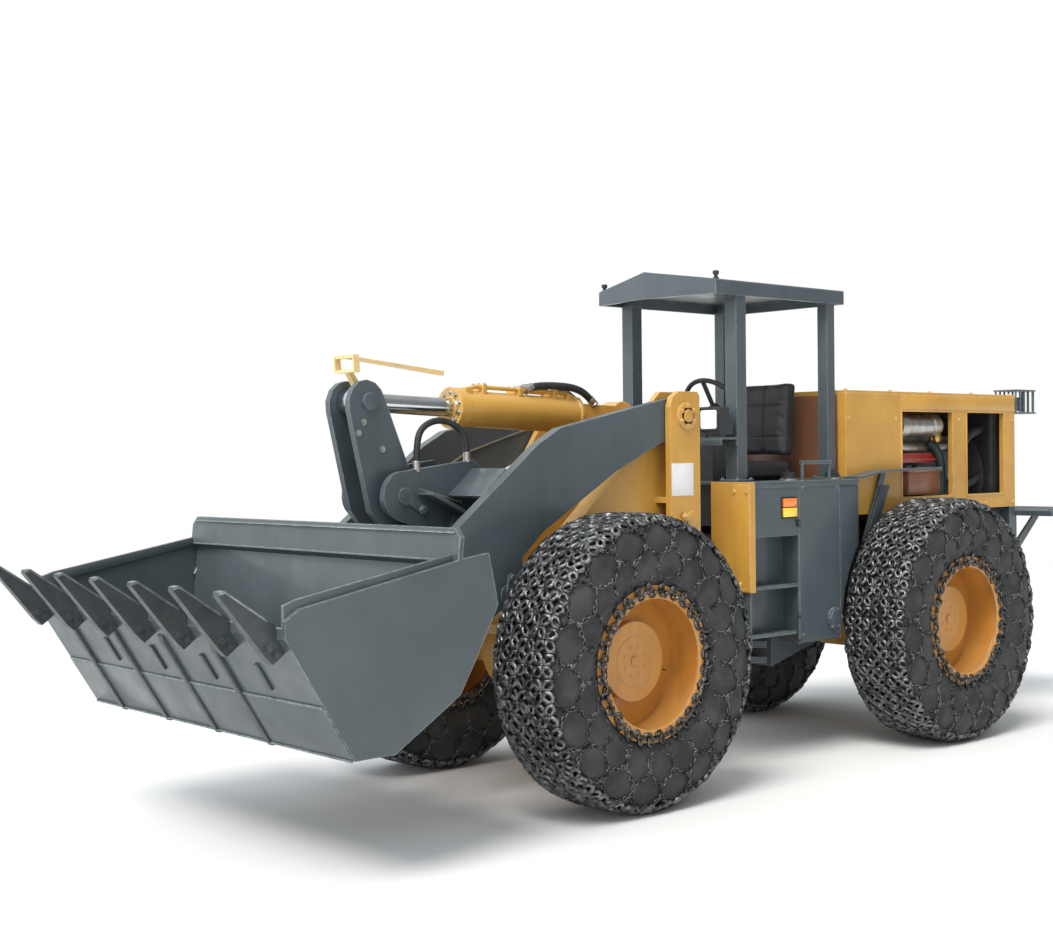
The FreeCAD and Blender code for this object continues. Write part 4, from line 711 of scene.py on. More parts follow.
def hold_round(piece, centre):
    """Draw a chain's outermost corners back to the tyre's outside."""
    for vert in piece.data.vertices:
        away = Vector((vert.co.x - centre.x, 0.0, vert.co.z - centre.z))
        if away.length > CHAIN_LIMIT / 1000:
            held = away.normalized() * (CHAIN_LIMIT / 1000)
            vert.co.x, vert.co.z = centre.x + held.x, centre.z + held.z
    return piece


def chain_net(name, centre, body, seed):
    """Wear links in diamonds over the tread, round links in hexagons down both sidewalls."""
    draw = random.Random(seed)
    pitch = math.tau / NET_COLUMNS
    wear, rings, small = [], [], []

    def spot(run, column, jitter=0.0):
        wobble = draw.uniform(-jitter, jitter)
        place, out = on_tyre(run + wobble, column * pitch, CHAIN_SINK)
        return centre + place, out

    tread = {}
    for row in range(-TREAD_ROWS, TREAD_ROWS + 1):
        for column in range(NET_COLUMNS):
            tread[row, column] = spot(row * TREAD_STEP, column + (row % 2) * 0.5, 2.5)
    for (row, column), (place, out) in tread.items():
        rings.append((place, Vector((draw.uniform(-1, 1), 0.3, draw.uniform(-1, 1))).normalized(), out))
        if row == TREAD_ROWS:
            continue
        for step in (0, -1) if row % 2 == 0 else (0, 1):
            other, other_out = tread[row + 1, (column + step) % NET_COLUMNS]
            lean = (out + other_out + Vector([draw.uniform(-0.5, 0.5) for _ in range(3)])).normalized()
            length = (other - place).length
            wear.append(((place + other) / 2, (other - place).normalized(), lean,
                         (length / 0.079, draw.uniform(1.0, 1.15), 1.0)))

    def strand(first, last, out, link=0.030):
        gap = (last - first).length
        count = max(round(gap / (link * 0.78)), 1)
        along = (last - first).normalized()
        across = along.cross(out).normalized()
        for step in range(count):
            place = first.lerp(last, (step + 0.5) / count)
            lean = (out if step % 2 else across) + Vector([draw.uniform(-0.3, 0.3) for _ in range(3)])
            small.append((place, along, lean.normalized(), (gap / count / 0.0235, 1.0, 1.0)))

    edge = TREAD_ROWS * TREAD_STEP
    half = NET_COLUMNS // 2
    shift = (TREAD_ROWS % 2) * 0.5
    for side in BOTH:
        upper = [spot(side * (edge + 48), 2 * i + 0.5 + shift, 3) for i in range(half)]
        middle = [spot(side * (edge + 92), 2 * i + 0.5 + shift, 3) for i in range(half)]
        lower = [spot(side * (edge + 148), 2 * i + 1.5 + shift, 3) for i in range(half)]
        low_end = [spot(side * (edge + 196), 2 * i + 1.5 + shift, 3) for i in range(half)]
        hem = [spot(side * (edge + 250), i, 2) for i in range(NET_COLUMNS)]
        for i in range(half):
            place, out = upper[i]
            for step in (0, 1):
                strand(tread[side * TREAD_ROWS, (2 * i + step) % NET_COLUMNS][0], place, out)
            strand(place, middle[i][0], out)
            strand(middle[i][0], lower[i][0], out)
            strand(middle[i][0], lower[(i - 1) % half][0], out)
            strand(lower[i][0], low_end[i][0], lower[i][1])
            strand(low_end[i][0], hem[(2 * i + 1) % NET_COLUMNS][0], low_end[i][1])
            strand(low_end[i][0], hem[(2 * i + 2) % NET_COLUMNS][0], low_end[i][1])
            for node_place, node_out in (upper[i], middle[i], lower[i], low_end[i]):
                rings.append((node_place, node_out.cross(Vector((0, 1, 0.3))).normalized(), node_out))
        for i in range(NET_COLUMNS):
            strand(hem[i][0], hem[(i + 1) % NET_COLUMNS][0], hem[i][1], 0.034)
    hold_round(spread(name + "_wear_links", WEAR_LINK, wear, body), centre)
    hold_round(spread(name + "_rings", NET_RING, rings, body), centre)
    spread(name + "_side_links", SMALL_LINK, small, body)


WEAR_LINK = loop_graph("wear_link", CHAIN_STEEL_AND_GLINTS, 0.056, 0.028, 0.0190, 0.013, squared=True)
NET_RING = loop_graph("net_ring", SIDE_CHAIN_AND_GLINTS, 0.022, 0.020, 0.0044, 0.0044)
SMALL_LINK = loop_graph("round_link", SIDE_CHAIN_AND_GLINTS, 0.027, 0.016, 0.0034, 0.0034)
HEM_LINK = loop_graph("hem_link", SIDE_CHAIN_AND_GLINTS, 0.046, 0.029, 0.0066, 0.0066)
HUB_PLUG = bolt_graph("hub_plug", RIM_YELLOW, 0.0085, 0.004, sides=12)
STEEL_BOLT = bolt_graph("steel_bolt", ZINC, 0.010, 0.010)
SLATE_BOLT = bolt_graph("slate_bolt", SLATE, 0.012, 0.011)
YELLOW_BOLT = bolt_graph("yellow_bolt", YELLOW, 0.012, 0.011)
BIG_BOLT = bolt_graph("tooth_bolt", TOOTH_STEEL, 0.017, 0.012)
RADIATOR_FIN = fin_graph("radiator_fin", DARK_STEEL, 0.004, 0.70, 0.0025)

HUB_FACE = 43.0
HUB_PLUGS = 8
RIM_BORE = 287.0
HEM_COUNT = 28


def rim_hem(name, centre, body, side, seed):
    """The chain's inner hem, lying over the rim's flange: a ring of links and short ties."""
    draw = random.Random(seed)
    face = Y_WAY * side
    links, ring, outer = [], [], []
    for index in range(HEM_COUNT):
        turn = (index + 0.5) * math.tau / HEM_COUNT
        ring.append(centre + spoke_at(turn) * draw.uniform(0.288, 0.297) + face * 0.163)
        wide = (index + draw.uniform(0.3, 0.7)) * math.tau / HEM_COUNT
        outer.append(centre + spoke_at(wide) * draw.uniform(0.330, 0.338) + face * 0.170)
    for index, place in enumerate(ring):
        after = ring[(index + 1) % HEM_COUNT]
        gap = (after - place).length
        count = max(round(gap / 0.034), 1)
        along = (after - place).normalized()
        for step in range(count):
            lean = face + Vector([draw.uniform(-0.5, 0.5) for _ in range(3)]) + along.cross(face) * (
                0.9 if step % 2 else 0.0)
            links.append((place.lerp(after, (step + 0.5) / count), along, lean.normalized(),
                          (gap / count / 0.036, 1.0, 1.0)))
    for inner_place, outer_place in zip(ring, outer):
        along = (inner_place - outer_place).normalized()
        lean = (face + Vector([draw.uniform(-0.5, 0.5) for _ in range(3)])).normalized()
        links.append((outer_place.lerp(inner_place, 0.5), along, lean, (1.0, 0.9, 1.0)))
    spread(name + "_hem_links", HEM_LINK, links, body)


def wheel(place, side_name):
    side = 1 if side_name == "left" else -1
    x, y = (WHEEL_BASE if place == "front" else 0.0), side * HALF_TRACK
    body = f"{place}_{side_name}_wheel"
    centre = at(x, y, AXLE_Z)
    stem = f"{place}_{side_name}"
    tyre_rubber(f"{stem}_tyre_rubber", centre, body, f"{stem}_tyre")
    chain_net(f"{stem}_chain", centre, body, len(stem) * 7 + side)
    for edge in BOTH:
        rim_hem(f"{stem}_{'outer' if edge == side else 'inner'}", centre, body, edge,
                len(stem) * 11 + edge)
    face = Y_WAY * side
    plugs = []
    for index in range(HUB_PLUGS):
        spoke = spoke_at((index + 0.5) * math.tau / HUB_PLUGS)
        plugs.append((centre + spoke * 0.062 + face * ((HUB_FACE + 1) / 1000), spoke, face,
                      (0.8, 0.8, 0.7)))
    spread(f"{stem}_hub_plugs", HUB_PLUG, plugs, body)
    trim = Shape()
    trim.around(x, y, side, ((268, 150), (268, 157), (274, 162), (292, 162), (292, 150)))
    for out, radius, wire in ((133, RIM_BORE + 1, 4.5), (HUB_FACE + 1, 104, 1.8),
                              (-25, RIM_BORE - 2, 7)):
        trim.around(x, y + side * out, 1, circle(radius, 0, wire, 8))
    for first, profile, sides in ((HUB_FACE - 10, ((0, 168), (9, 168), (11, 165)), 64),
                                  (HUB_FACE, ((0, 24), (5, 24), (8, 20)), 24)):
        trim.lathe((x, y + side * first, AXLE_Z), (x, y + side * (first + 11), AXLE_Z), profile, sides)
    trim.done(f"{stem}_rim_trim", RIM_YELLOW, body)
    joints = Shape()
    for turn in (15, 195):
        (near_x, near_z), (far_x, far_z) = (circle(x, AXLE_Z, reach, 1, turned=math.radians(turn))[0]
                                            for reach in (168, 250))
        joints.pipe(((near_x, y - side * 14.5, near_z), (far_x, y - side * 15.5, far_z)), 5, 8)
    joints.done(f"{stem}_web_joints", DARK_STEEL, body)


for wheel_place in ("front", "rear"):
    for wheel_side in ("left", "right"):
        wheel(wheel_place, wheel_side)


# ------------------------------------------------------------------ bucket and its teeth

BUCKET_HALF = 944.0
LIP_X, LIP_Z = 4150.0, 890.0
LIP_RUN, LIP_RISE = 270 / 511, 434 / 511
TEETH = [874.0 * (index / 3 - 1) for index in range(7)]
TOOTH_HALF = 18.0
TOOTH_CLEAR = 42.0
LONG_STRIPS = (-700, -330, 50, 420)
SHORT_STRIPS = (-455, -85, 290, 660)


def under(down, proud):
    """(x, z) on the bucket's underside: its way down from the lip, and out from the plate."""
    return (LIP_X - LIP_RUN * down + LIP_RISE * proud, LIP_Z - LIP_RISE * down - LIP_RUN * proud)


def bucket_strips():
    """Wear bars down the underside and round the heel, and the doubled heel plate."""
    heel = Shape()
    heel.side(-BUCKET_HALF + 4, BUCKET_HALF - 4,
              (under(283, -1), under(508, -1), under(508, 5), under(290, 5)))
    heel.done("bucket_heel_plate", BUCKET_PAINT, "loader_bucket", 1.5)
    bars = Shape()
    for middle in LONG_STRIPS:
        bars.side(middle - 17, middle + 17, (
            under(62, -1), under(511, -1), under(513, 9), under(500, 13), under(92, 13), under(66, 5)))
        bars.side(middle - 17, middle + 17, (
            (3886, 460), (3712, 460), (3712, 447), (3884, 444)))
    for middle in SHORT_STRIPS:
        bars.side(middle - 13, middle + 13, (under(128, -1), under(238, -1), under(238, 9),
                                             under(128, 9)))
    bars.done("bucket_wear_bars", TOOTH_STEEL, "loader_bucket", 1.5)
    weld = Shape()
    for down, proud in ((282, 3), (507, 7)):
        x, z = under(down, proud)
        weld.pipe(((x, -BUCKET_HALF + 6, z), (x, BUCKET_HALF - 6, z)), 4.5, 6)
    weld.pipe(((3406, -BUCKET_HALF + 22, 1104), (3406, BUCKET_HALF - 22, 1104)), 5, 6)
    weld.done("bucket_weld_beads", BUCKET_PAINT, "loader_bucket")


def bucket_bolts():
    """Two bolts through each tooth's root, a light strip along its upper edge for ground wear and a
    painted highlight, and the shoe behind the lip.
    """
    spots = []
    for middle in TEETH:
        for down, proud in ((44, 30), (8, 44)):
            x, z = under(down, proud)
            for side in BOTH:
                spots.append((at(x, middle + side * TOOTH_HALF, z), Vector((LIP_RISE, 0, -LIP_RUN)),
                              Y_WAY * side, (0.8, 0.8, 0.8)))
    spread("tooth_root_bolts", BIG_BOLT, spots, "loader_bucket")
    # Light steel strips on the teeth's top edges: partly ground wear, partly a painted highlight.
    blades = Shape()
    for middle in TEETH:
        blades.side(middle - TOOTH_HALF - 1.5, middle + TOOTH_HALF + 1.5, (
            (LIP_X + 30, LIP_Z + 62), (LIP_X + 190, LIP_Z + 169.5), (LIP_X + 211, LIP_Z + 166),
            (LIP_X + 213, LIP_Z + 155), (LIP_X + 190, LIP_Z + 160), (LIP_X + 34, LIP_Z + 55)))
    blades.done("tooth_wear_and_highlight_edges", WORN_AND_HIGHLIT_STEEL, "loader_bucket", 1.5)
    feet = Shape()
    for middle in TEETH:
        feet.side(middle - 34, middle + 34, (under(-1, -21), under(86, -21), under(86, -33),
                                             under(6, -33)))
    feet.done("tooth_upper_shoes", BUCKET_PAINT, "loader_bucket", 2.5)


def bucket_corners():
    """Plates on the cheeks and lip, the guard's fold, the inner back, a lifting eye and two ribs."""
    plates = Shape()
    for side in BOTH:
        plates.cheek(side, BUCKET_HALF - 32, BUCKET_HALF - 19, (
            (4146, 908), (4146, 1000), (4088, 1018), (3700, 1086), (3430, 1134), (3430, 1100),
            (3700, 1050), (4040, 985), (4090, 940), (4100, 905)))
    plates.done("cheek_top_plates", BUCKET_PAINT, "loader_bucket", 3)
    lip = Shape()
    lip.side(-BUCKET_HALF + 22, BUCKET_HALF - 22, (
        under(-1, -20), under(150, -20), under(156, -26), under(150, -32), under(2, -32)))
    lip.done("lip_edge_plate", BUCKET_PAINT, "loader_bucket", 2.5)
    rubbed = Shape()
    for first, last in zip(TEETH, TEETH[1:]):
        rubbed.side(first + TOOTH_CLEAR, last - TOOTH_CLEAR, (
            under(-2, -31), under(22, -33.5), under(26, -31), under(3, -19), under(3, -2), under(-2, -2)))
    rubbed.done("lip_rubbed_edges", WORN_AND_HIGHLIT_STEEL, "loader_bucket", 1)
    inner = Shape()
    inner.side(-BUCKET_HALF + 26, BUCKET_HALF - 26,
               ((3402, 1103), (3408, 1103), (3452, 645), (3446, 645)))
    inner.done("bucket_inner_back", BUCKET_PAINT, "loader_bucket", 1)
    guard = Shape()
    guard.side(-BUCKET_HALF + 30, BUCKET_HALF - 30,
               ((3424, 1206), (3412, 1212), (3409, 1221), (3395, 1221),
                                                     (3392, 1223), (3392, 1206)))
    guard.done("guard_top_fold", BUCKET_PAINT, "loader_bucket", 3)
    eye = Shape()
    eye.pipe(((3424, -BUCKET_HALF + 25, 970), (3396, -BUCKET_HALF + 36, 1030),
              (3366, -BUCKET_HALF + 42, 1046),
              (3336, -BUCKET_HALF + 36, 1030), (3312, -BUCKET_HALF + 25, 966)), 8, 8, 4)
    eye.done("bucket_lifting_eye", ZINC, "loader_bucket")
    spine = Shape()
    for side in BOTH:
        spine.cheek(side, 118, 146, ((3238, 946), (3300, 840), (3415, 640), (3396, 630), (3282, 826),
                                     (3222, 934)))
    spine.done("bucket_back_ribs", BUCKET_PAINT, "loader_bucket", 3)


bucket_strips()
bucket_bolts()
bucket_corners()


# ------------------------------------------------------------------ rocker, arms and their pins

CRANK_TOP, CRANK_PIVOT = (3185.0, 1707.0), (3060.0, 1318.0)
ROCKER_FACE = 85.0
SUPPORT_FACE = 150.0
ARM_FACE = 415.0
BUCKET_PIN_COVER = (2733, 909)
CROSS_TUBE = (2745, 1155)


def pin_keeper(shape, x, z, face, side, reach, lean):
    """A locking bar beside a pin's end; returns the place of its bolt."""
    run, rise = math.cos(lean), math.sin(lean)
    wide = 17
    shape.cheek(side, face, face + 9, (
        (x + run * 12 - rise * wide, z + rise * 12 + run * wide),
        (x + run * reach - rise * wide, z + rise * reach + run * wide),
        (x + run * (reach + 14), z + rise * (reach + 14)),
        (x + run * reach + rise * wide, z + rise * reach - run * wide),
        (x + run * 12 + rise * wide, z + rise * 12 - run * wide)))
    return at(x + run * (reach - 8), side * (face + 9), z + rise * (reach - 8))


def rocker_details():
    keepers, bolts = Shape(), []
    for side in BOTH:
        face = Y_WAY * side
        keepers.cheek(side, ROCKER_FACE + 11, ROCKER_FACE + 14, circle(*CRANK_TOP, 36, 24))
        for x, z in ((3212, 1622), (3238, 1578), (3120, 1512), (2790, 905), (2668, 812)):
            bolts.append((at(x, side * ROCKER_FACE, z), X_WAY, face, (0.95, 0.95, 0.9)))
    keepers.done("rocker_pin_caps", SLATE, "rocker", 2.5)
    spread("rocker_bolts", STEEL_BOLT, bolts, "rocker")


def boom_details():
    keepers, bolts = Shape(), []
    for side in BOTH:
        face = Y_WAY * side
        spots = [(pin_keeper(keepers, *CRANK_PIVOT, SUPPORT_FACE, side, 112, math.radians(213)), face),
                 (pin_keeper(keepers, *BUCKET_PIN_COVER, ARM_FACE, side, 78, math.radians(100)), face)]
        for place, out in spots:
            bolts.append((place, X_WAY, out, (1.2, 1.2, 1.2)))
        keepers.cheek(side, ARM_FACE, ARM_FACE + 5, circle(*BUCKET_PIN_COVER, 44, 20))
    keepers.done("boom_pin_keepers", SLATE, "boom", 2)
    spread("boom_bolts", SLATE_BOLT, bolts, "boom")
    gussets = Shape()
    for side in BOTH:
        gussets.cheek(side, SUPPORT_FACE - 1, 365,
                      ((2640, 1205), (2600, 1330), (2612, 1334), (2654, 1208)))
        gussets.cheek(side, SUPPORT_FACE - 1, 365,
                      ((2826, 1308), (2689, 1419), (2697, 1429), (2834, 1318)))
        gussets.cheek(side, SUPPORT_FACE - 1, SUPPORT_FACE + 90,
                      ((2756, 1232), (2984, 1336), (2990, 1324), (2764, 1220)))
    gussets.done("boom_support_gussets", SLATE, "boom", 2)
    beads = Shape()
    for side in BOTH:
        for y in (SUPPORT_FACE + 3, SUPPORT_FACE - 33, 362):
            ring = [(x, side * y, z) for x, z in circle(*CROSS_TUBE, 88, 28, closed=True)]
            beads.pipe(ring, 4.5, 6, 1)
    beads.done("cross_tube_welds", SLATE, "boom")
    grease = Shape()
    for side in BOTH:
        y = side * (SUPPORT_FACE + 6)
        grease.pipe(((2984, y, 1345), (2767, y, 1284)), 6, 8, 4)
        y = side * (ARM_FACE - 54)
        grease.pipe(((2690, y, 1300), (2300, y, 1500), (1990, y, 1590), (1800, y, 1640)), 4.5, 8, 4)
    grease.done("grease_pipes", ZINC, "boom")


rocker_details()
boom_details()


# ------------------------------------------------------------------ tilt cylinder

TILT_BASE = (1690.0, 1651.0)
TILT_LEAN = math.atan2(CRANK_TOP[1] - TILT_BASE[1], CRANK_TOP[0] - TILT_BASE[0])
SADDLES = (430, 640, 850)


def on_tilt(along, up):
    """(x, z) beside the tilt cylinder's axis."""
    run, rise = math.cos(TILT_LEAN), math.sin(TILT_LEAN)
    return TILT_BASE[0] + along * run - up * rise, TILT_BASE[1] + along * rise + up * run


def tilt_pipes():
    """The two oil pipes on the barrel, their saddles, port blocks and the gland's studs."""
    pipes, saddles = Shape(), Shape()
    for y, last in ((30, 905), (-30, 560)):
        places = []
        for along, up in ((340, 78), (340, 97), (last, 97), (last + 36, 78)):
            x, z = on_tilt(along, up)
            places.append((x, y, z))
        pipes.pipe(places, 9.5, 12, 4)
    pipes.done("tilt_oil_pipes", YELLOW, "tilt_cylinder")
    strap = ((-13, 66), (13, 66), (13, 103), (9, 110), (-9, 110), (-13, 103))
    block = ((-20, 60), (20, 60), (20, 88), (14, 93), (-14, 93), (-20, 88))
    for spots, low, high, form in ((SADDLES, -46, 46, strap), ((340, 941), 12, 48, block),
                                   ((340, 596), -48, -12, block)):
        for along in spots:
            saddles.side(low, high, [on_tilt(along + run, up) for run, up in form])
    saddles.done("tilt_pipe_saddles", YELLOW, "tilt_cylinder", 2)
    axis = Vector((math.cos(TILT_LEAN), 0, math.sin(TILT_LEAN)))
    studs = []
    for y, up in circle(0, 0, 66, 10, turned=math.tau / 20):
        x, z = on_tilt(1010, up)
        studs.append((at(x, y, z), Y_WAY, axis, (0.95, 0.95, 1.1)))
    for along in SADDLES:
        for y in (-38, 38, 0):
            x, z = on_tilt(along, 109)
            studs.append((at(x, y, z), axis, Vector((-axis.z, 0, axis.x)), (0.65, 0.65, 0.6)))
    spread("tilt_gland_studs", STEEL_BOLT, studs, "tilt_cylinder")


def gland_ring(name, along, inner, outer, thick):
    """A flat ring round the tilt cylinder's axis, open in the middle."""
    x, z = on_tilt(along, 0)
    axis = Vector((math.cos(TILT_LEAN), 0.0, math.sin(TILT_LEAN)))
    u = axis.cross(Y_WAY).normalized()
    v = axis.cross(u)
    section = ((inner, 0), (outer - 2, 0), (outer, 2), (outer, thick - 2), (outer - 2, thick),
               (inner, thick))
    rings = [[at(x, 0, z) + (u * run + v * rise) * (radius / 1000) + axis * (far / 1000)
              for radius, far in section] for run, rise in circle(0, 0, 1, 40)]
    ring = Shape()
    ring.grid(rings, len(section), closed=True)
    ring.done(name, YELLOW, "tilt_cylinder")


tilt_pipes()
gland_ring("tilt_base_ring", 287, 79.5, 87, 14)
gland_ring("tilt_gland_seam", 952, 79.5, 85, 10)
gland_ring("tilt_wiper_ring", 1010, 41, 52, 6)


# ------------------------------------------------------------------ hoses

def hose(name, diameter, length, body, points):
    """A hydraulic hose on one smooth curve, held by a fitting at each end."""
    data = bpy.data.curves.new(name, "CURVE")
    data.dimensions = "3D"
    line = data.splines.new("NURBS")
    line.points.add(len(points) - 1)
    for point, place in zip(line.points, points):
        point.co = (*at(*place), 1.0)
    line.order_u = 3
    line.use_endpoint_u = True
    line.resolution_u = 8
    data.bevel_depth = diameter / 2000
    data.bevel_resolution = 3
    data.use_fill_caps = True
    data.materials.append(HOSE)
    piece = keep(new_piece(name, data), body)
    ends, radius = Shape(), diameter / 2
    for first, second in ((points[0], points[1]), (points[-1], points[-2])):
        start, ahead = Vector(first), (Vector(second) - Vector(first)).normalized()
        ends.lathe(tuple(start - ahead * 4), tuple(start + ahead * 44), (
            (0, radius + 2), (2, radius + 5), (14, radius + 5), (16, radius + 2), (44, radius + 1.5),
            (46, radius)), 12)
    fittings = ends.done(name + "_fittings", ZINC, body)


HOSES = (
    ("tilt_hose_left", 34, 0.43, "tilt_cylinder",
     ((2290, 34, 1772), (2250, 36, 1790), (2150, 44, 1796), (2020, 52, 1790), (1930, 52, 1760),
      (1880, 48, 1712))),
    ("tilt_hose_right", 34, 0.41, "tilt_cylinder",
     ((2270, -34, 1772), (2230, -36, 1788), (2130, -44, 1794), (2010, -52, 1786), (1930, -52, 1754),
      (1885, -48, 1712))),
    ("rocker_grease_hose", 28, 0.54, "boom",
     ((2716, 135, 1456), (2716, 135, 1530), (2740, 128, 1600), (2850, 122, 1640), (2960, 126, 1600),
      (2985, 133, 1500), (2985, 135, 1420))),
)
for row in HOSES:
    hose(*row)


# ------------------------------------------------------------------ towers and apron

TOWER_FACE = 450.0
BOOM_PIVOT = (1690.0, 1651.0)
TOWER_PIN = (1660, 1185)
APRON_FACE = 1347.3


def round_plate(shape, x, z, radius, face, side, thick, sides=24):
    """A flat disc on a side plate."""
    shape.cheek(side, face, face + thick, circle(x, z, radius, sides))


def tower_details():
    plates, bolts = Shape(), []
    for side in BOTH:
        face = Y_WAY * side
        round_plate(plates, *BOOM_PIVOT, 62, TOWER_FACE + 6, side, 6)
        round_plate(plates, *BOOM_PIVOT, 30, TOWER_FACE + 12, side, 6)
        round_plate(plates, *TOWER_PIN, 36, TOWER_FACE, side, 8)
        for x, z in circle(*BOOM_PIVOT, 47, 6, turned=math.tau / 12):
            bolts.append((at(x, side * (TOWER_FACE + 12), z), X_WAY, face, (0.8, 0.8, 0.8)))
        bolts.append((pin_keeper(plates, *TOWER_PIN, TOWER_FACE + 8, side, 62, math.radians(12)),
                      X_WAY, face, (1, 1, 1)))
        for x, z in ((1625, 1075), (1770, 1075), (1625, 1040), (1770, 1040)):
            bolts.append((at(x, side * TOWER_FACE, z), X_WAY, face, (0.9, 0.9, 0.9)))
    plates.done("tower_pin_plates", YELLOW, "front_section", 2)
    spread("tower_bolts", YELLOW_BOLT, bolts, "front_section")
    label = Shape()
    label.side(TOWER_FACE, TOWER_FACE + 1.5, ((1646, 1290), (1790, 1290), (1790, 1438), (1646, 1438)))
    label.done("blank_plate", WHITE, "front_section", 0.5, slot="slate_paint")


def apron_details():
    strips, pins, bolts = Shape(), Shape(), []
    for side in BOTH:
        low, high = sorted((side * 425, side * 530))
        strips.front(APRON_FACE, APRON_FACE + 5, ((low, 836), (high, 836), (high, 1335), (low, 1335)))
        y = side * 472
        pins.lathe((APRON_FACE + 17, y, 742), (APRON_FACE + 17, y, 880), (
            (0, 9), (6, 13), (112, 13), (114, 19), (132, 19), (136, 13)), 20)
        pins.box(APRON_FACE, APRON_FACE + 34, y - 22, y + 22, 836, 852)
        for y in (side * 440, side * 514):
            bolts.append((at(APRON_FACE + 5, y, 1300), Y_WAY, X_WAY, (0.7, 0.7, 0.7)))
    strips.done("apron_cover_strips", YELLOW, "rear_section", 1.5)
    pins.done("apron_draw_pins", YELLOW, "rear_section", 1)
    spread("apron_bolts", YELLOW_BOLT, bolts, "rear_section")


tower_details()
apron_details()


# ------------------------------------------------------------------ side boxes, steps and deck

BOX_FACE = 516.0
DECK_TOP = 1345.0
TANK_END = (712, 668)
FILLER_CAPS = (940, 600)
STRUT_OUTLINE = ((212, 1308), (134, 1306), (285, 1022), (344, 1025))
BAY_OUTLINE = ((654, 560), (640, 600), (640, 640), (635, 700), (614, 800), (575, 900), (520, 1000),
               (500, 1019), (500, 1314), (654, 1314))


def side_box_details():
    marker, dark, steel_rods, bolts, frame = Shape(), Shape(), Shape(), [], Shape()
    amber, yellow = Shape(), Shape()
    for side in BOTH:
        face = Y_WAY * side
        marker.cheek(side, BOX_FACE, BOX_FACE + 3,
                     ((992, 1166), (1106, 1166), (1106, 1270), (992, 1270)))
        amber.cheek(side, BOX_FACE + 2, BOX_FACE + 13,
                    ((1000, 1222), (1098, 1222), (1098, 1262), (1000, 1262)))
        yellow.cheek(side, BOX_FACE + 2, BOX_FACE + 13,
                     ((1000, 1174), (1098, 1174), (1098, 1217), (1000, 1217)))
        for z_low, z_high in ((1126, 1160), (572, 700)):
            y = side * (BOX_FACE + 7)
            steel_rods.rod((984, y, z_low + 12), (984, y, z_high - 12), 7, 12)
            for first, last in ((z_low, z_low + 14), (z_high - 14, z_high)):
                dark.rod((984, y, first), (984, y, last), 9.5, 12, 2)
        round_plate(frame, *TANK_END, 54, BOX_FACE, side, 14, 28)
        round_plate(frame, *TANK_END, 40, BOX_FACE + 14, side, 6, 28)
        for x, z in circle(*TANK_END, 47, 6):
            bolts.append((at(x, side * (BOX_FACE + 14), z), X_WAY, face, (0.55, 0.55, 0.6)))
        for z in (1310, 600):
            for x in (676, 948):
                bolts.append((at(x, side * BOX_FACE, z), X_WAY, face, (0.7, 0.7, 0.7)))
    struts, bays = Shape(), Shape()
    for side in BOTH:
        struts.cheek(side, 438, 447, STRUT_OUTLINE)
        bays.cheek(side, 424, BOX_FACE, BAY_OUTLINE)
        bays.cheek(side, 330, 423.5, [(x, min(z, 1150)) for x, z in BAY_OUTLINE])
    struts.done("fender_struts", SLATE, "rear_section", 1.5)
    bays.done("side_box_rear_bays", SLATE, "rear_section", 3)
    marker.done("marker_lamp_bases", BLACK, "rear_section", 1)
    amber.done("marker_lenses_amber", AMBER_LENS, "rear_section", 2)
    yellow.done("marker_lenses_yellow", YELLOW_LENS, "rear_section", 2)
    steel_rods.done("box_latch_rods", SLATE, "rear_section")
    dark.done("box_latch_tips", BLACK, "rear_section")
    frame.done("tank_end_flanges", SLATE, "rear_section", 2)
    spread("side_box_bolts", SLATE_BOLT, bolts, "rear_section")


def deck_details():
    edge, caps, treads = Shape(), Shape(), Shape()
    for side in BOTH:
        edge.cheek(side, 513, 520.5, ((502, DECK_TOP - 30), (1333, DECK_TOP - 30), (1333, DECK_TOP - 1),
                                      (502, DECK_TOP - 1)))
    for x in FILLER_CAPS:
        caps.lathe((x, 430, DECK_TOP + 26), (x, 430, DECK_TOP + 40), (
            (0, 30), (3, 33), (9, 33), (12, 28), (13, 10)), 24)
        caps.pipe(((x - 26, 430, DECK_TOP + 40), (x, 430, DECK_TOP + 46), (x + 26, 430, DECK_TOP + 40)),
                  4, 8, 4)
    edge.done("deck_edge_folds", SLATE, "rear_section", 1.5)
    collars = Shape()
    for x in FILLER_CAPS:
        collars.lathe((x, 430, DECK_TOP), (x, 430, DECK_TOP + 9), ((0, 46), (6, 46), (9, 42)), 28)
    collars.done("filler_cap_collars", ZINC, "rear_section")
    caps.done("filler_cap_grips", BLACK, "rear_section")
    for z in (620, 845, 1092):
        treads.box(982, 1325, 500, 515, z, z + 9)
        for index in range(9):
            x = 1000 + index * 38
            treads.box(x, x + 12, 424, 498, z - 0.5, z + 3.5)
    treads.done("step_tread_bars", SLATE, "rear_section", 0.8)


side_box_details()
deck_details()


# ------------------------------------------------------------------ canopy and lamps

ROOF_LOW, ROOF_EAVE = 2228.0, 2297.0


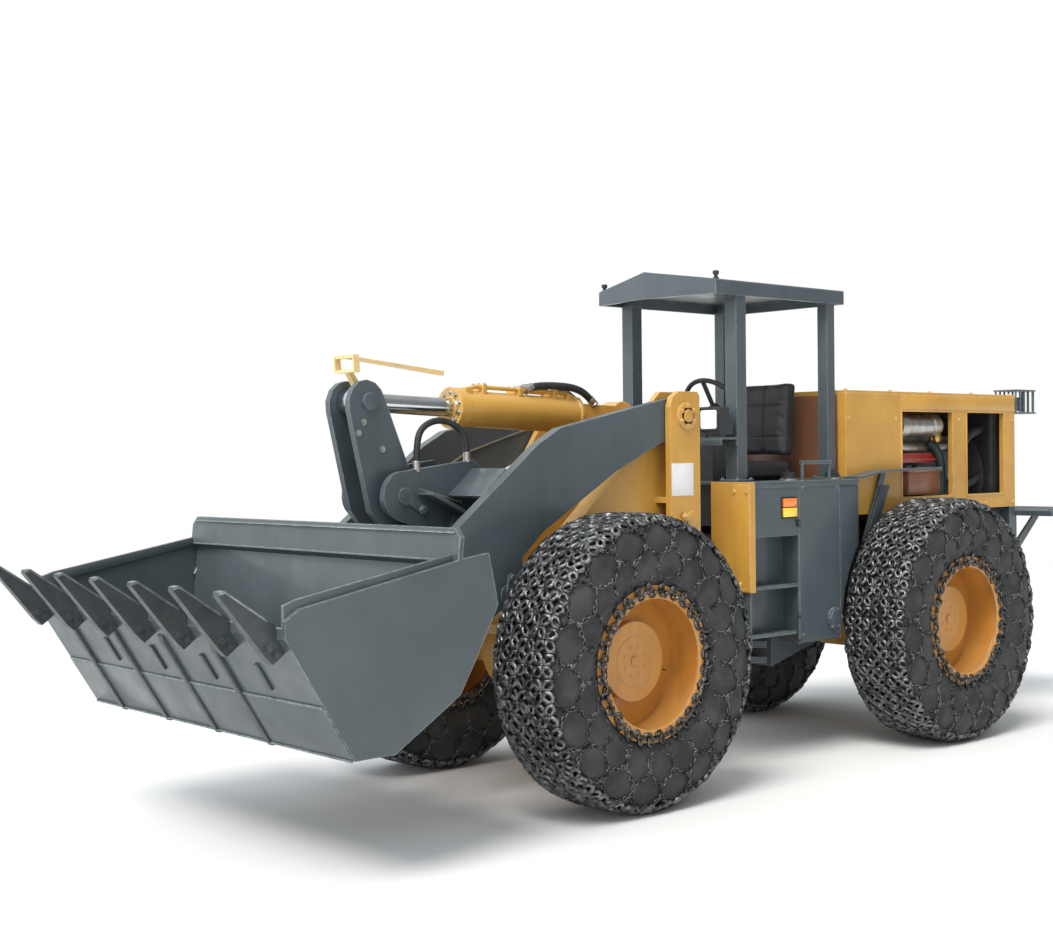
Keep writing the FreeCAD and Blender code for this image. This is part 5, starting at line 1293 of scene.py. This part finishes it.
def canopy_details():
    seams, knobs, feet, bolts = Shape(), Shape(), Shape(), []
    for side in BOTH:
        y = side * 388
        seams.pipe(((445, y, ROOF_EAVE - 3), (1410, y, ROOF_EAVE - 3)), 3.5, 6)
        seams.pipe(((1411, y, ROOF_LOW + 4), (1411, y, ROOF_EAVE - 3)), 3.5, 6)
        knobs.lathe((1392, side * 372, ROOF_EAVE + 1), (1392, side * 372, ROOF_EAVE + 40), (
            (0, 15), (6, 15), (8, 9), (20, 9), (23, 15), (36, 15), (39, 10)), 16)
        for x, wide in ((1225, 35), (530, 30)):
            y = side * 345
            feet.box(x - wide - 25, x + wide + 25, y - wide - 22, y + wide + 22, DECK_TOP, DECK_TOP + 10)
            for run in (-1, 1):
                for reach in (-1, 1):
                    bolts.append((at(x + run * (wide + 13), y + reach * (wide + 11), DECK_TOP + 10),
                                  X_WAY, Z_WAY, (0.7, 0.7, 0.9)))
    seams.done("canopy_seams", SLATE, "rear_section")
    knobs.done("canopy_knobs", BLACK, "rear_section")
    feet.done("post_foot_plates", SLATE, "rear_section", 2)
    spread("post_foot_bolts", SLATE_BOLT, bolts, "rear_section")


HEAD_LAMP_Y, HEAD_LAMP_Z = 316, 1640
REAR_LAMP_Y = 357


def lamp_outline(y, reach_y, reach_z, corner):
    """A head lamp's rectangle with round corners, as (y, z) spots."""
    return [(y + run * (reach_y - corner) + corner * math.cos(turn),
             HEAD_LAMP_Z + rise * (reach_z - corner) + corner * math.sin(turn))
            for index, (run, rise) in enumerate(((1, 1), (-1, 1), (-1, -1), (1, -1)))
            for turn in (math.radians(90 * index + 30 * step) for step in range(4))]


def lamp_details():
    frames, glass, brackets = Shape(), Shape(), Shape()
    for side in BOTH:
        y = side * HEAD_LAMP_Y
        glass.front(1386, 1391, lamp_outline(y, 50, 44, 10))
        frames.front(1322, 1388, lamp_outline(y, 68, 60, 14))
        bead = [(1389, *spot) for spot in lamp_outline(y, 56, 50, 12)]
        frames.pipe(bead + bead[:1], 4.5, 6, 1)
        for rise in range(-36, 40, 12):
            frames.box(1306, 1322, y - 30, y + 30, HEAD_LAMP_Z + rise - 2, HEAD_LAMP_Z + rise + 2)
        low, high = sorted((side * 243, side * 388))
        brackets.box(1262, 1384, low, high, 1546, 1556)
        brackets.box(1376, 1384, low, high, 1519, 1547)
        brackets.box(1262, 1274, low, high, 1519, 1547)
        for reach in (-50, 50):
            brackets.rod((1350, y + reach, 1556), (1350, y + reach, 1590), 7, 10)
    frames.done("head_lamp_frames", BLACK, "rear_section", 1.5)
    brackets.done("head_lamp_brackets", SLATE, "rear_section", 1)
    glass.done("head_lamp_lenses", CLEAR_LENS, "rear_section", 1)
    tail, lenses = Shape(), Shape()
    for side in BOTH:
        y = side * REAR_LAMP_Y
        outline = [(-1107, y - 72), (-1310, y - 72)]
        outline += [(-1310 - 58 * math.sin(step * math.pi / 8), y - 72 * math.cos(step * math.pi / 8))
                    for step in range(1, 8)]
        outline += [(-1310, y + 72), (-1107, y + 72)]
        tail.plan(1819, 1828, outline)
        tail.plan(1690, 1699, outline)
        for x in (-1120, -1165, -1210, -1255, -1300):
            for reach in (-64, 64):
                tail.rod((x, y + reach, 1698), (x, y + reach, 1820), 6, 8)
        for reach in (-36, 0, 36):
            tail.rod((-1356, y + reach, 1698), (-1356, y + reach, 1820), 6, 8)
        tail.box(-1215, -1107.5, y - 48, y + 48, 1706, 1784)
        for eye_y in (y + 22, y - 22):
            lenses.lathe((-1215, eye_y, 1745), (-1222, eye_y, 1745), ((0, 22), (5, 21), (7, 14)), 20)
    guards = tail.done("rear_lamp_guards", SLATE, "rear_section", 1.5)
    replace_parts(guards, "rear_lamps")
    lenses.done("rear_lamp_lenses", RED_LENS, "rear_section")


canopy_details()
lamp_details()


# ------------------------------------------------------------------ hood and engine bay

HOOD_FACE = 420.0
WINDOW_LOW, WINDOW_TOP = 1240.0, 1690.0
WINDOWS = ((-475, -10), (-987, -618))
FIN_COUNT, FIN_PITCH = 60, 12.2


def hood_details():
    rails, frames, bolts, beads = Shape(), Shape(), [], Shape()
    for side in BOTH:
        face = Y_WAY * side
        rails.cheek(side, HOOD_FACE, HOOD_FACE + 5,
                    ((-1104, 1702), (-12, 1702), (-12, 1776), (-1104, 1776)))
        for back, front in WINDOWS:
            for z_low, z_high in ((WINDOW_TOP, WINDOW_TOP + 9), (WINDOW_LOW - 9, WINDOW_LOW)):
                frames.cheek(side, HOOD_FACE, HOOD_FACE + 5, (
                    (back - 9, z_low), (front + 9, z_low), (front + 9, z_high), (back - 9, z_high)))
            for x_low, x_high in ((back - 9, back), (front, front + 9)):
                frames.cheek(side, HOOD_FACE, HOOD_FACE + 5, (
                    (x_low, WINDOW_LOW), (x_high, WINDOW_LOW), (x_high, WINDOW_TOP),
                    (x_low, WINDOW_TOP)))
        beads.pipe(((-2, side * (HOOD_FACE + 0.5), 1165), (-2, side * (HOOD_FACE + 0.5), 1776)), 3, 6)
        for x in (-1085, -800, -545, -240, 20, 240, 445):
            bolts.append((at(x, side * HOOD_FACE, 1187), X_WAY, face, (0.8, 0.8, 0.8)))
        for x in (-1085, -545, 40, 445):
            bolts.append((at(x, side * HOOD_FACE, 1650), X_WAY, face, (0.7, 0.7, 0.7)))
    for x in (-1085, -700, -300, 60, 440):
        for side in BOTH:
            bolts.append((at(x, side * 396, 1794), X_WAY, Z_WAY, (0.8, 0.8, 0.8)))
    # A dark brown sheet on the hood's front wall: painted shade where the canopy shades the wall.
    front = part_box("bonnet_frame")[1][0] * 1000 + REAR_AXLE_X
    shade_sheet = Shape()
    shade_sheet.front(front, front + 4, ((-372, DECK_TOP + 6), (372, DECK_TOP + 6), (372, 1770),
                                    (-372, 1770)))
    shade_sheet.done("hood_front_painted_shade", COPPER, "rear_section", 1.5, slot="yellow_paint")
    rails.done("hood_top_rails", YELLOW, "rear_section", 1.5)
    frames.done("hood_window_frames", YELLOW, "rear_section", 1)
    beads.done("hood_panel_seams", YELLOW, "rear_section")
    spread("hood_bolts", YELLOW_BOLT, bolts, "rear_section")


def engine_details():
    """What shows through the hood's windows: rocker cover, manifolds, filters, pipes and fan."""
    cover, silver, dark, red, brown, green, brass = (Shape() for _ in range(7))
    cover.box(-780, -130, -120, 120, 1560, 1632)
    for x in range(-740, -130, 110):
        cover.box(x - 8, x + 8, -130, 130, 1560, 1640)
    for side in BOTH:
        y = side * 262
        silver.pipe(((-760, y, 1500), (-200, y, 1500), (-120, y, 1560), (-120, side * 200, 1640)), 34,
                    16, 5)
        for x in range(-720, -180, 108):
            silver.pipe(((x, side * 236, 1475), (x, y, 1500)), 22, 10, 2)
        silver.lathe((-440, side * 330, 1618), (-60, side * 330, 1618), (
            (0, 40), (4, 62), (70, 64), (76, 58), (300, 58), (306, 66), (372, 66), (380, 50)), 32)
        red.box(-500, -20, side * 300 - 14, side * 300 + 14, 1418, 1470)
        red.box(-500, -20, side * 322 - 10, side * 322 + 10, 1430, 1438)
        brown.box(-470, -170, side * 310 - 40, side * 310 + 40, 1244, 1372)
        brown.box(-480, -160, side * 310 - 46, side * 310 + 46, 1366, 1384)
        green.pipe(((-505, side * 330, 1246), (-500, side * 334, 1400), (-470, side * 330, 1480),
                    (-430, side * 300, 1530)), 26, 14, 6)
        brass.lathe((-420, side * 352, 1556), (-420, side * 378, 1556),
                    ((0, 26), (6, 30), (18, 30), (24, 20)), 20)
        brass.lathe((-420, side * 330, 1540), (-420, side * 330, 1600), ((0, 16), (50, 16), (54, 10)),
                    16)
        for x in (-120, -230, -340):
            dark.lathe((x, side * 290, 1220), (x, side * 290, 1410),
                       ((0, 30), (4, 40), (170, 40), (186, 30)), 20)
        dark.pipe(((-640, side * 330, 1250), (-660, side * 335, 1450), (-760, side * 320, 1560),
                   (-930, side * 300, 1600)), 28, 14, 6)
        dark.pipe(((-640, side * 250, 1300), (-800, side * 290, 1280), (-930, side * 300, 1330)), 22, 12,
                  5)
    dark.lathe((-905, 0, 1330), (-925, 0, 1330), ((0, 325), (4, 335), (16, 335), (20, 325)), 48)
    cover.done("engine_rocker_cover", CAST, "rear_section", 4)
    silver.done("engine_manifolds", ZINC, "rear_section", slot="cast_grey")
    red.done("engine_side_beams", RED_PAINT, "rear_section", 2)
    brown.done("engine_side_tanks", COPPER, "rear_section", 5)
    green.done("engine_intake_pipes", GREEN_HOSE, "rear_section")
    brass.done("engine_filter_bowls", BRASS, "rear_section")
    dark.done("engine_dark_parts", DARK_STEEL, "rear_section")
    fins = [(at(-929, 0, 960 + index * FIN_PITCH), Y_WAY, X_WAY) for index in range(FIN_COUNT)]
    spread("radiator_fins", RADIATOR_FIN, fins, "rear_section")


hood_details()
engine_details()


# ------------------------------------------------------------------ operator's station

def console_details():
    """Dials and switches on the stand, the levers beside it, the floor mat and the pedals."""
    panel, bezels, faces, levers, knobs = Shape(), Shape(), Shape(), Shape(), Shape()

    def on_panel(down, y, up):
        return (1124 - 0.53 * down - 0.85 * up, y, 1662 - 0.85 * down + 0.53 * up)

    for y in (-95, 0, 95):
        bezels.lathe(on_panel(46, y, 0), on_panel(46, y, 10), ((0, 33), (6, 33), (9, 29), (10, 26)), 28)
        faces.lathe(on_panel(46, y, 9), on_panel(46, y, 12), ((0, 26), (2, 25)), 28)
    for y in (-60, -30, 30, 60):
        levers.rod(on_panel(14, y, 0), on_panel(14, y, 14), 6, 10, 1)
    bezels.done("gauge_bezels", BLACK, "rear_section")
    faces.done("gauge_faces", WHITE, "rear_section")
    levers.done("dash_switches", ZINC, "rear_section")
    panel.box(1000, 1040, -300, -210, 1140, 1560)
    for index, y in enumerate((-285, -255, -225)):
        knobs.lathe((1012 - index * 4, y, 1560 + 190), (1010 - index * 4, y, 1560 + 235), (
            (0, 8), (6, 15), (26, 18), (40, 13), (45, 5)), 14)
        panel.rod((1020, y, 1556), (1012 - index * 4, y, 1560 + 196), 6, 10)
    panel.done("lever_stand", DARK_STEEL, "rear_section", 3)
    knobs.done("lever_knobs", BLACK, "rear_section")
    mat = Shape()
    mat.box(526, 1172, -290, 290, 1140.4, 1146)
    mat.done("floor_mat", HOSE, "rear_section", 2)
    pedals = Shape()
    for y in (-120, 110):
        lower, upper = ([at(x + back, y + out, z + rise) for x, z, out in (
            (1010, 1200, -40), (1010, 1200, 40), (1062, 1290, 40), (1062, 1290, -40))]
            for back, rise in ((0, 0), (-7, 5)))
        pedals.prism(lower, upper)
        pedals.rod((1030, y, 1240), (1066, y, 1200), 8, 10)
    pedals.done("foot_pedals", BLACK, "rear_section", 2)


console_details()


# ------------------------------------------------------------------ tail

def tail_details():
    plate, bolts = Shape(), []
    plate.box(-1262 - 10, -1262, -300, 300, 700, 1090)
    plate.done("tail_rear_plate", SLATE, "rear_section", 4)
    for y in (-270, 270):
        for z in (730, 1060):
            bolts.append((at(-1272, y, z), Y_WAY, -X_WAY, (1.5, 1.5, 1.4)))
    for side in BOTH:
        for x in (-1180, -1400, -1580):
            bolts.append((at(x, side * 600, 1135), X_WAY, Z_WAY, (0.9, 0.9, 0.9)))
    spread("tail_bolts", SLATE_BOLT, bolts, "rear_section")
    eye = Shape()
    for y in (-60, 60):
        eye.side(y - 12, y + 12, ((-1271, 760), (-1340, 770), (-1352, 800), (-1340, 830), (-1271, 850)))
    eye.rod((-1318, -84, 800), (-1318, 84, 800), 17, 20, 3)
    eye.done("tail_hitch", SLATE, "rear_section", 3)


tail_details()


# ------------------------------------------------------------------ studio

SKY_BRIGHTEST = (0.80, -0.30, 0.52)


def studio():
    """Pale floor, white surroundings, one soft key lamp and a sky that fills the shade."""
    scene = bpy.context.scene
    scene.view_settings.view_transform = "Standard"
    scene.world = bpy.data.worlds.new("studio_sky")
    scene.world.use_nodes = True
    sky = Tree(scene.world.node_tree)
    sky.tree.nodes.clear()
    direction = sky.node("ShaderNodeTexCoord").outputs["Generated"]
    ahead = sky.node("ShaderNodeVectorMath", {0: direction, 1: SKY_BRIGHTEST}, operation="DOT_PRODUCT")
    glow = sky.ramp(ahead.outputs["Value"], -0.4, 1.0, 0.30, 1.60)
    lamp = sky.node("ShaderNodeBackground", {"Color": (0.93, 0.97, 1.0, 1), "Strength": glow})
    view = sky.node("ShaderNodeBackground", {"Color": (1, 1, 1, 1), "Strength": 1.0})
    path = sky.node("ShaderNodeLightPath")
    choose = sky.node("ShaderNodeMixShader", {
        0: path.outputs["Is Camera Ray"], 1: lamp.outputs[0], 2: view.outputs[0]})
    sky.node("ShaderNodeOutputWorld", {"Surface": choose.outputs[0]})

    sun = bpy.data.objects.new("key_lamp", bpy.data.lights.new("key_lamp", "SUN"))
    sun.data.energy = 2.6
    sun.data.angle = math.radians(28)
    sun.data.color = (1.0, 0.97, 0.92)
    sun.rotation_euler = (math.radians(-12), math.radians(34), 0)
    scene.collection.objects.link(sun)

    mesh = bpy.data.meshes.new("floor")
    reach = 60.0
    mesh.from_pydata([(-reach, -reach, 0), (reach, -reach, 0), (reach, reach, 0), (-reach, reach, 0)],
                     [], [(0, 1, 2, 3)])
    floor = bpy.data.objects.new("floor", mesh)
    floor.location.z = -0.001
    scene.collection.objects.link(floor)
    mesh.materials.append(floor_finish())


def floor_finish():
    """Matt pale floor that turns pure white away from the machine."""
    finish = bpy.data.materials.new("pale_floor")
    finish.use_nodes = True
    floor = Tree(finish.node_tree)
    floor.tree.nodes.clear()
    matt = floor.node("ShaderNodeBsdfDiffuse", {"Color": (0.80, 0.80, 0.80, 1)})
    white = floor.node("ShaderNodeEmission", {"Strength": 1.0})
    place = floor.node("ShaderNodeTexCoord").outputs["Object"]
    away = floor.node("ShaderNodeVectorMath", {0: place}, operation="LENGTH").outputs["Value"]
    fade = floor.ramp(away, 3.4, 6.0, interpolation_type="SMOOTHSTEP")
    path = floor.node("ShaderNodeLightPath")
    choose = floor.node("ShaderNodeMixShader", {
        0: floor.multiply(fade, path.outputs["Is Camera Ray"]), 1: matt.outputs[0], 2: white.outputs[0]})
    floor.node("ShaderNodeOutputMaterial", {"Surface": choose.outputs[0]})
    return finish


CAMERA_PLACE = (6906.5, 5242.9, 1481.9)
CAMERA_TURN = (-2.29597, -0.0124946, -0.0106860)
SENSOR_WIDTH = 36.0
FOCAL_LENGTH = SENSOR_WIDTH * 1.479050333


def camera():
    """A longish lens in front of the machine's left corner, at eye height."""
    yaw, pitch, roll = CAMERA_TURN
    ahead = Vector((math.cos(yaw) * math.cos(pitch), math.sin(yaw) * math.cos(pitch), math.sin(pitch)))
    right = Vector((math.sin(yaw), -math.cos(yaw), 0.0))
    up = right.cross(ahead)
    right, up = (right * math.cos(roll) + up * math.sin(roll),
                 up * math.cos(roll) - right * math.sin(roll))
    turn = Matrix((right, up, -ahead)).transposed().to_4x4()
    lens_data = bpy.data.cameras.new("view")
    lens_data.sensor_fit = "HORIZONTAL"
    lens_data.sensor_width = SENSOR_WIDTH
    lens_data.lens = FOCAL_LENGTH
    lens_data.clip_end = 200.0
    made = bpy.data.objects.new("view", lens_data)
    made.matrix_world = Matrix.Translation(at(*CAMERA_PLACE)) @ turn
    bpy.context.scene.collection.objects.link(made)
    bpy.context.scene.camera = made


studio()
camera()
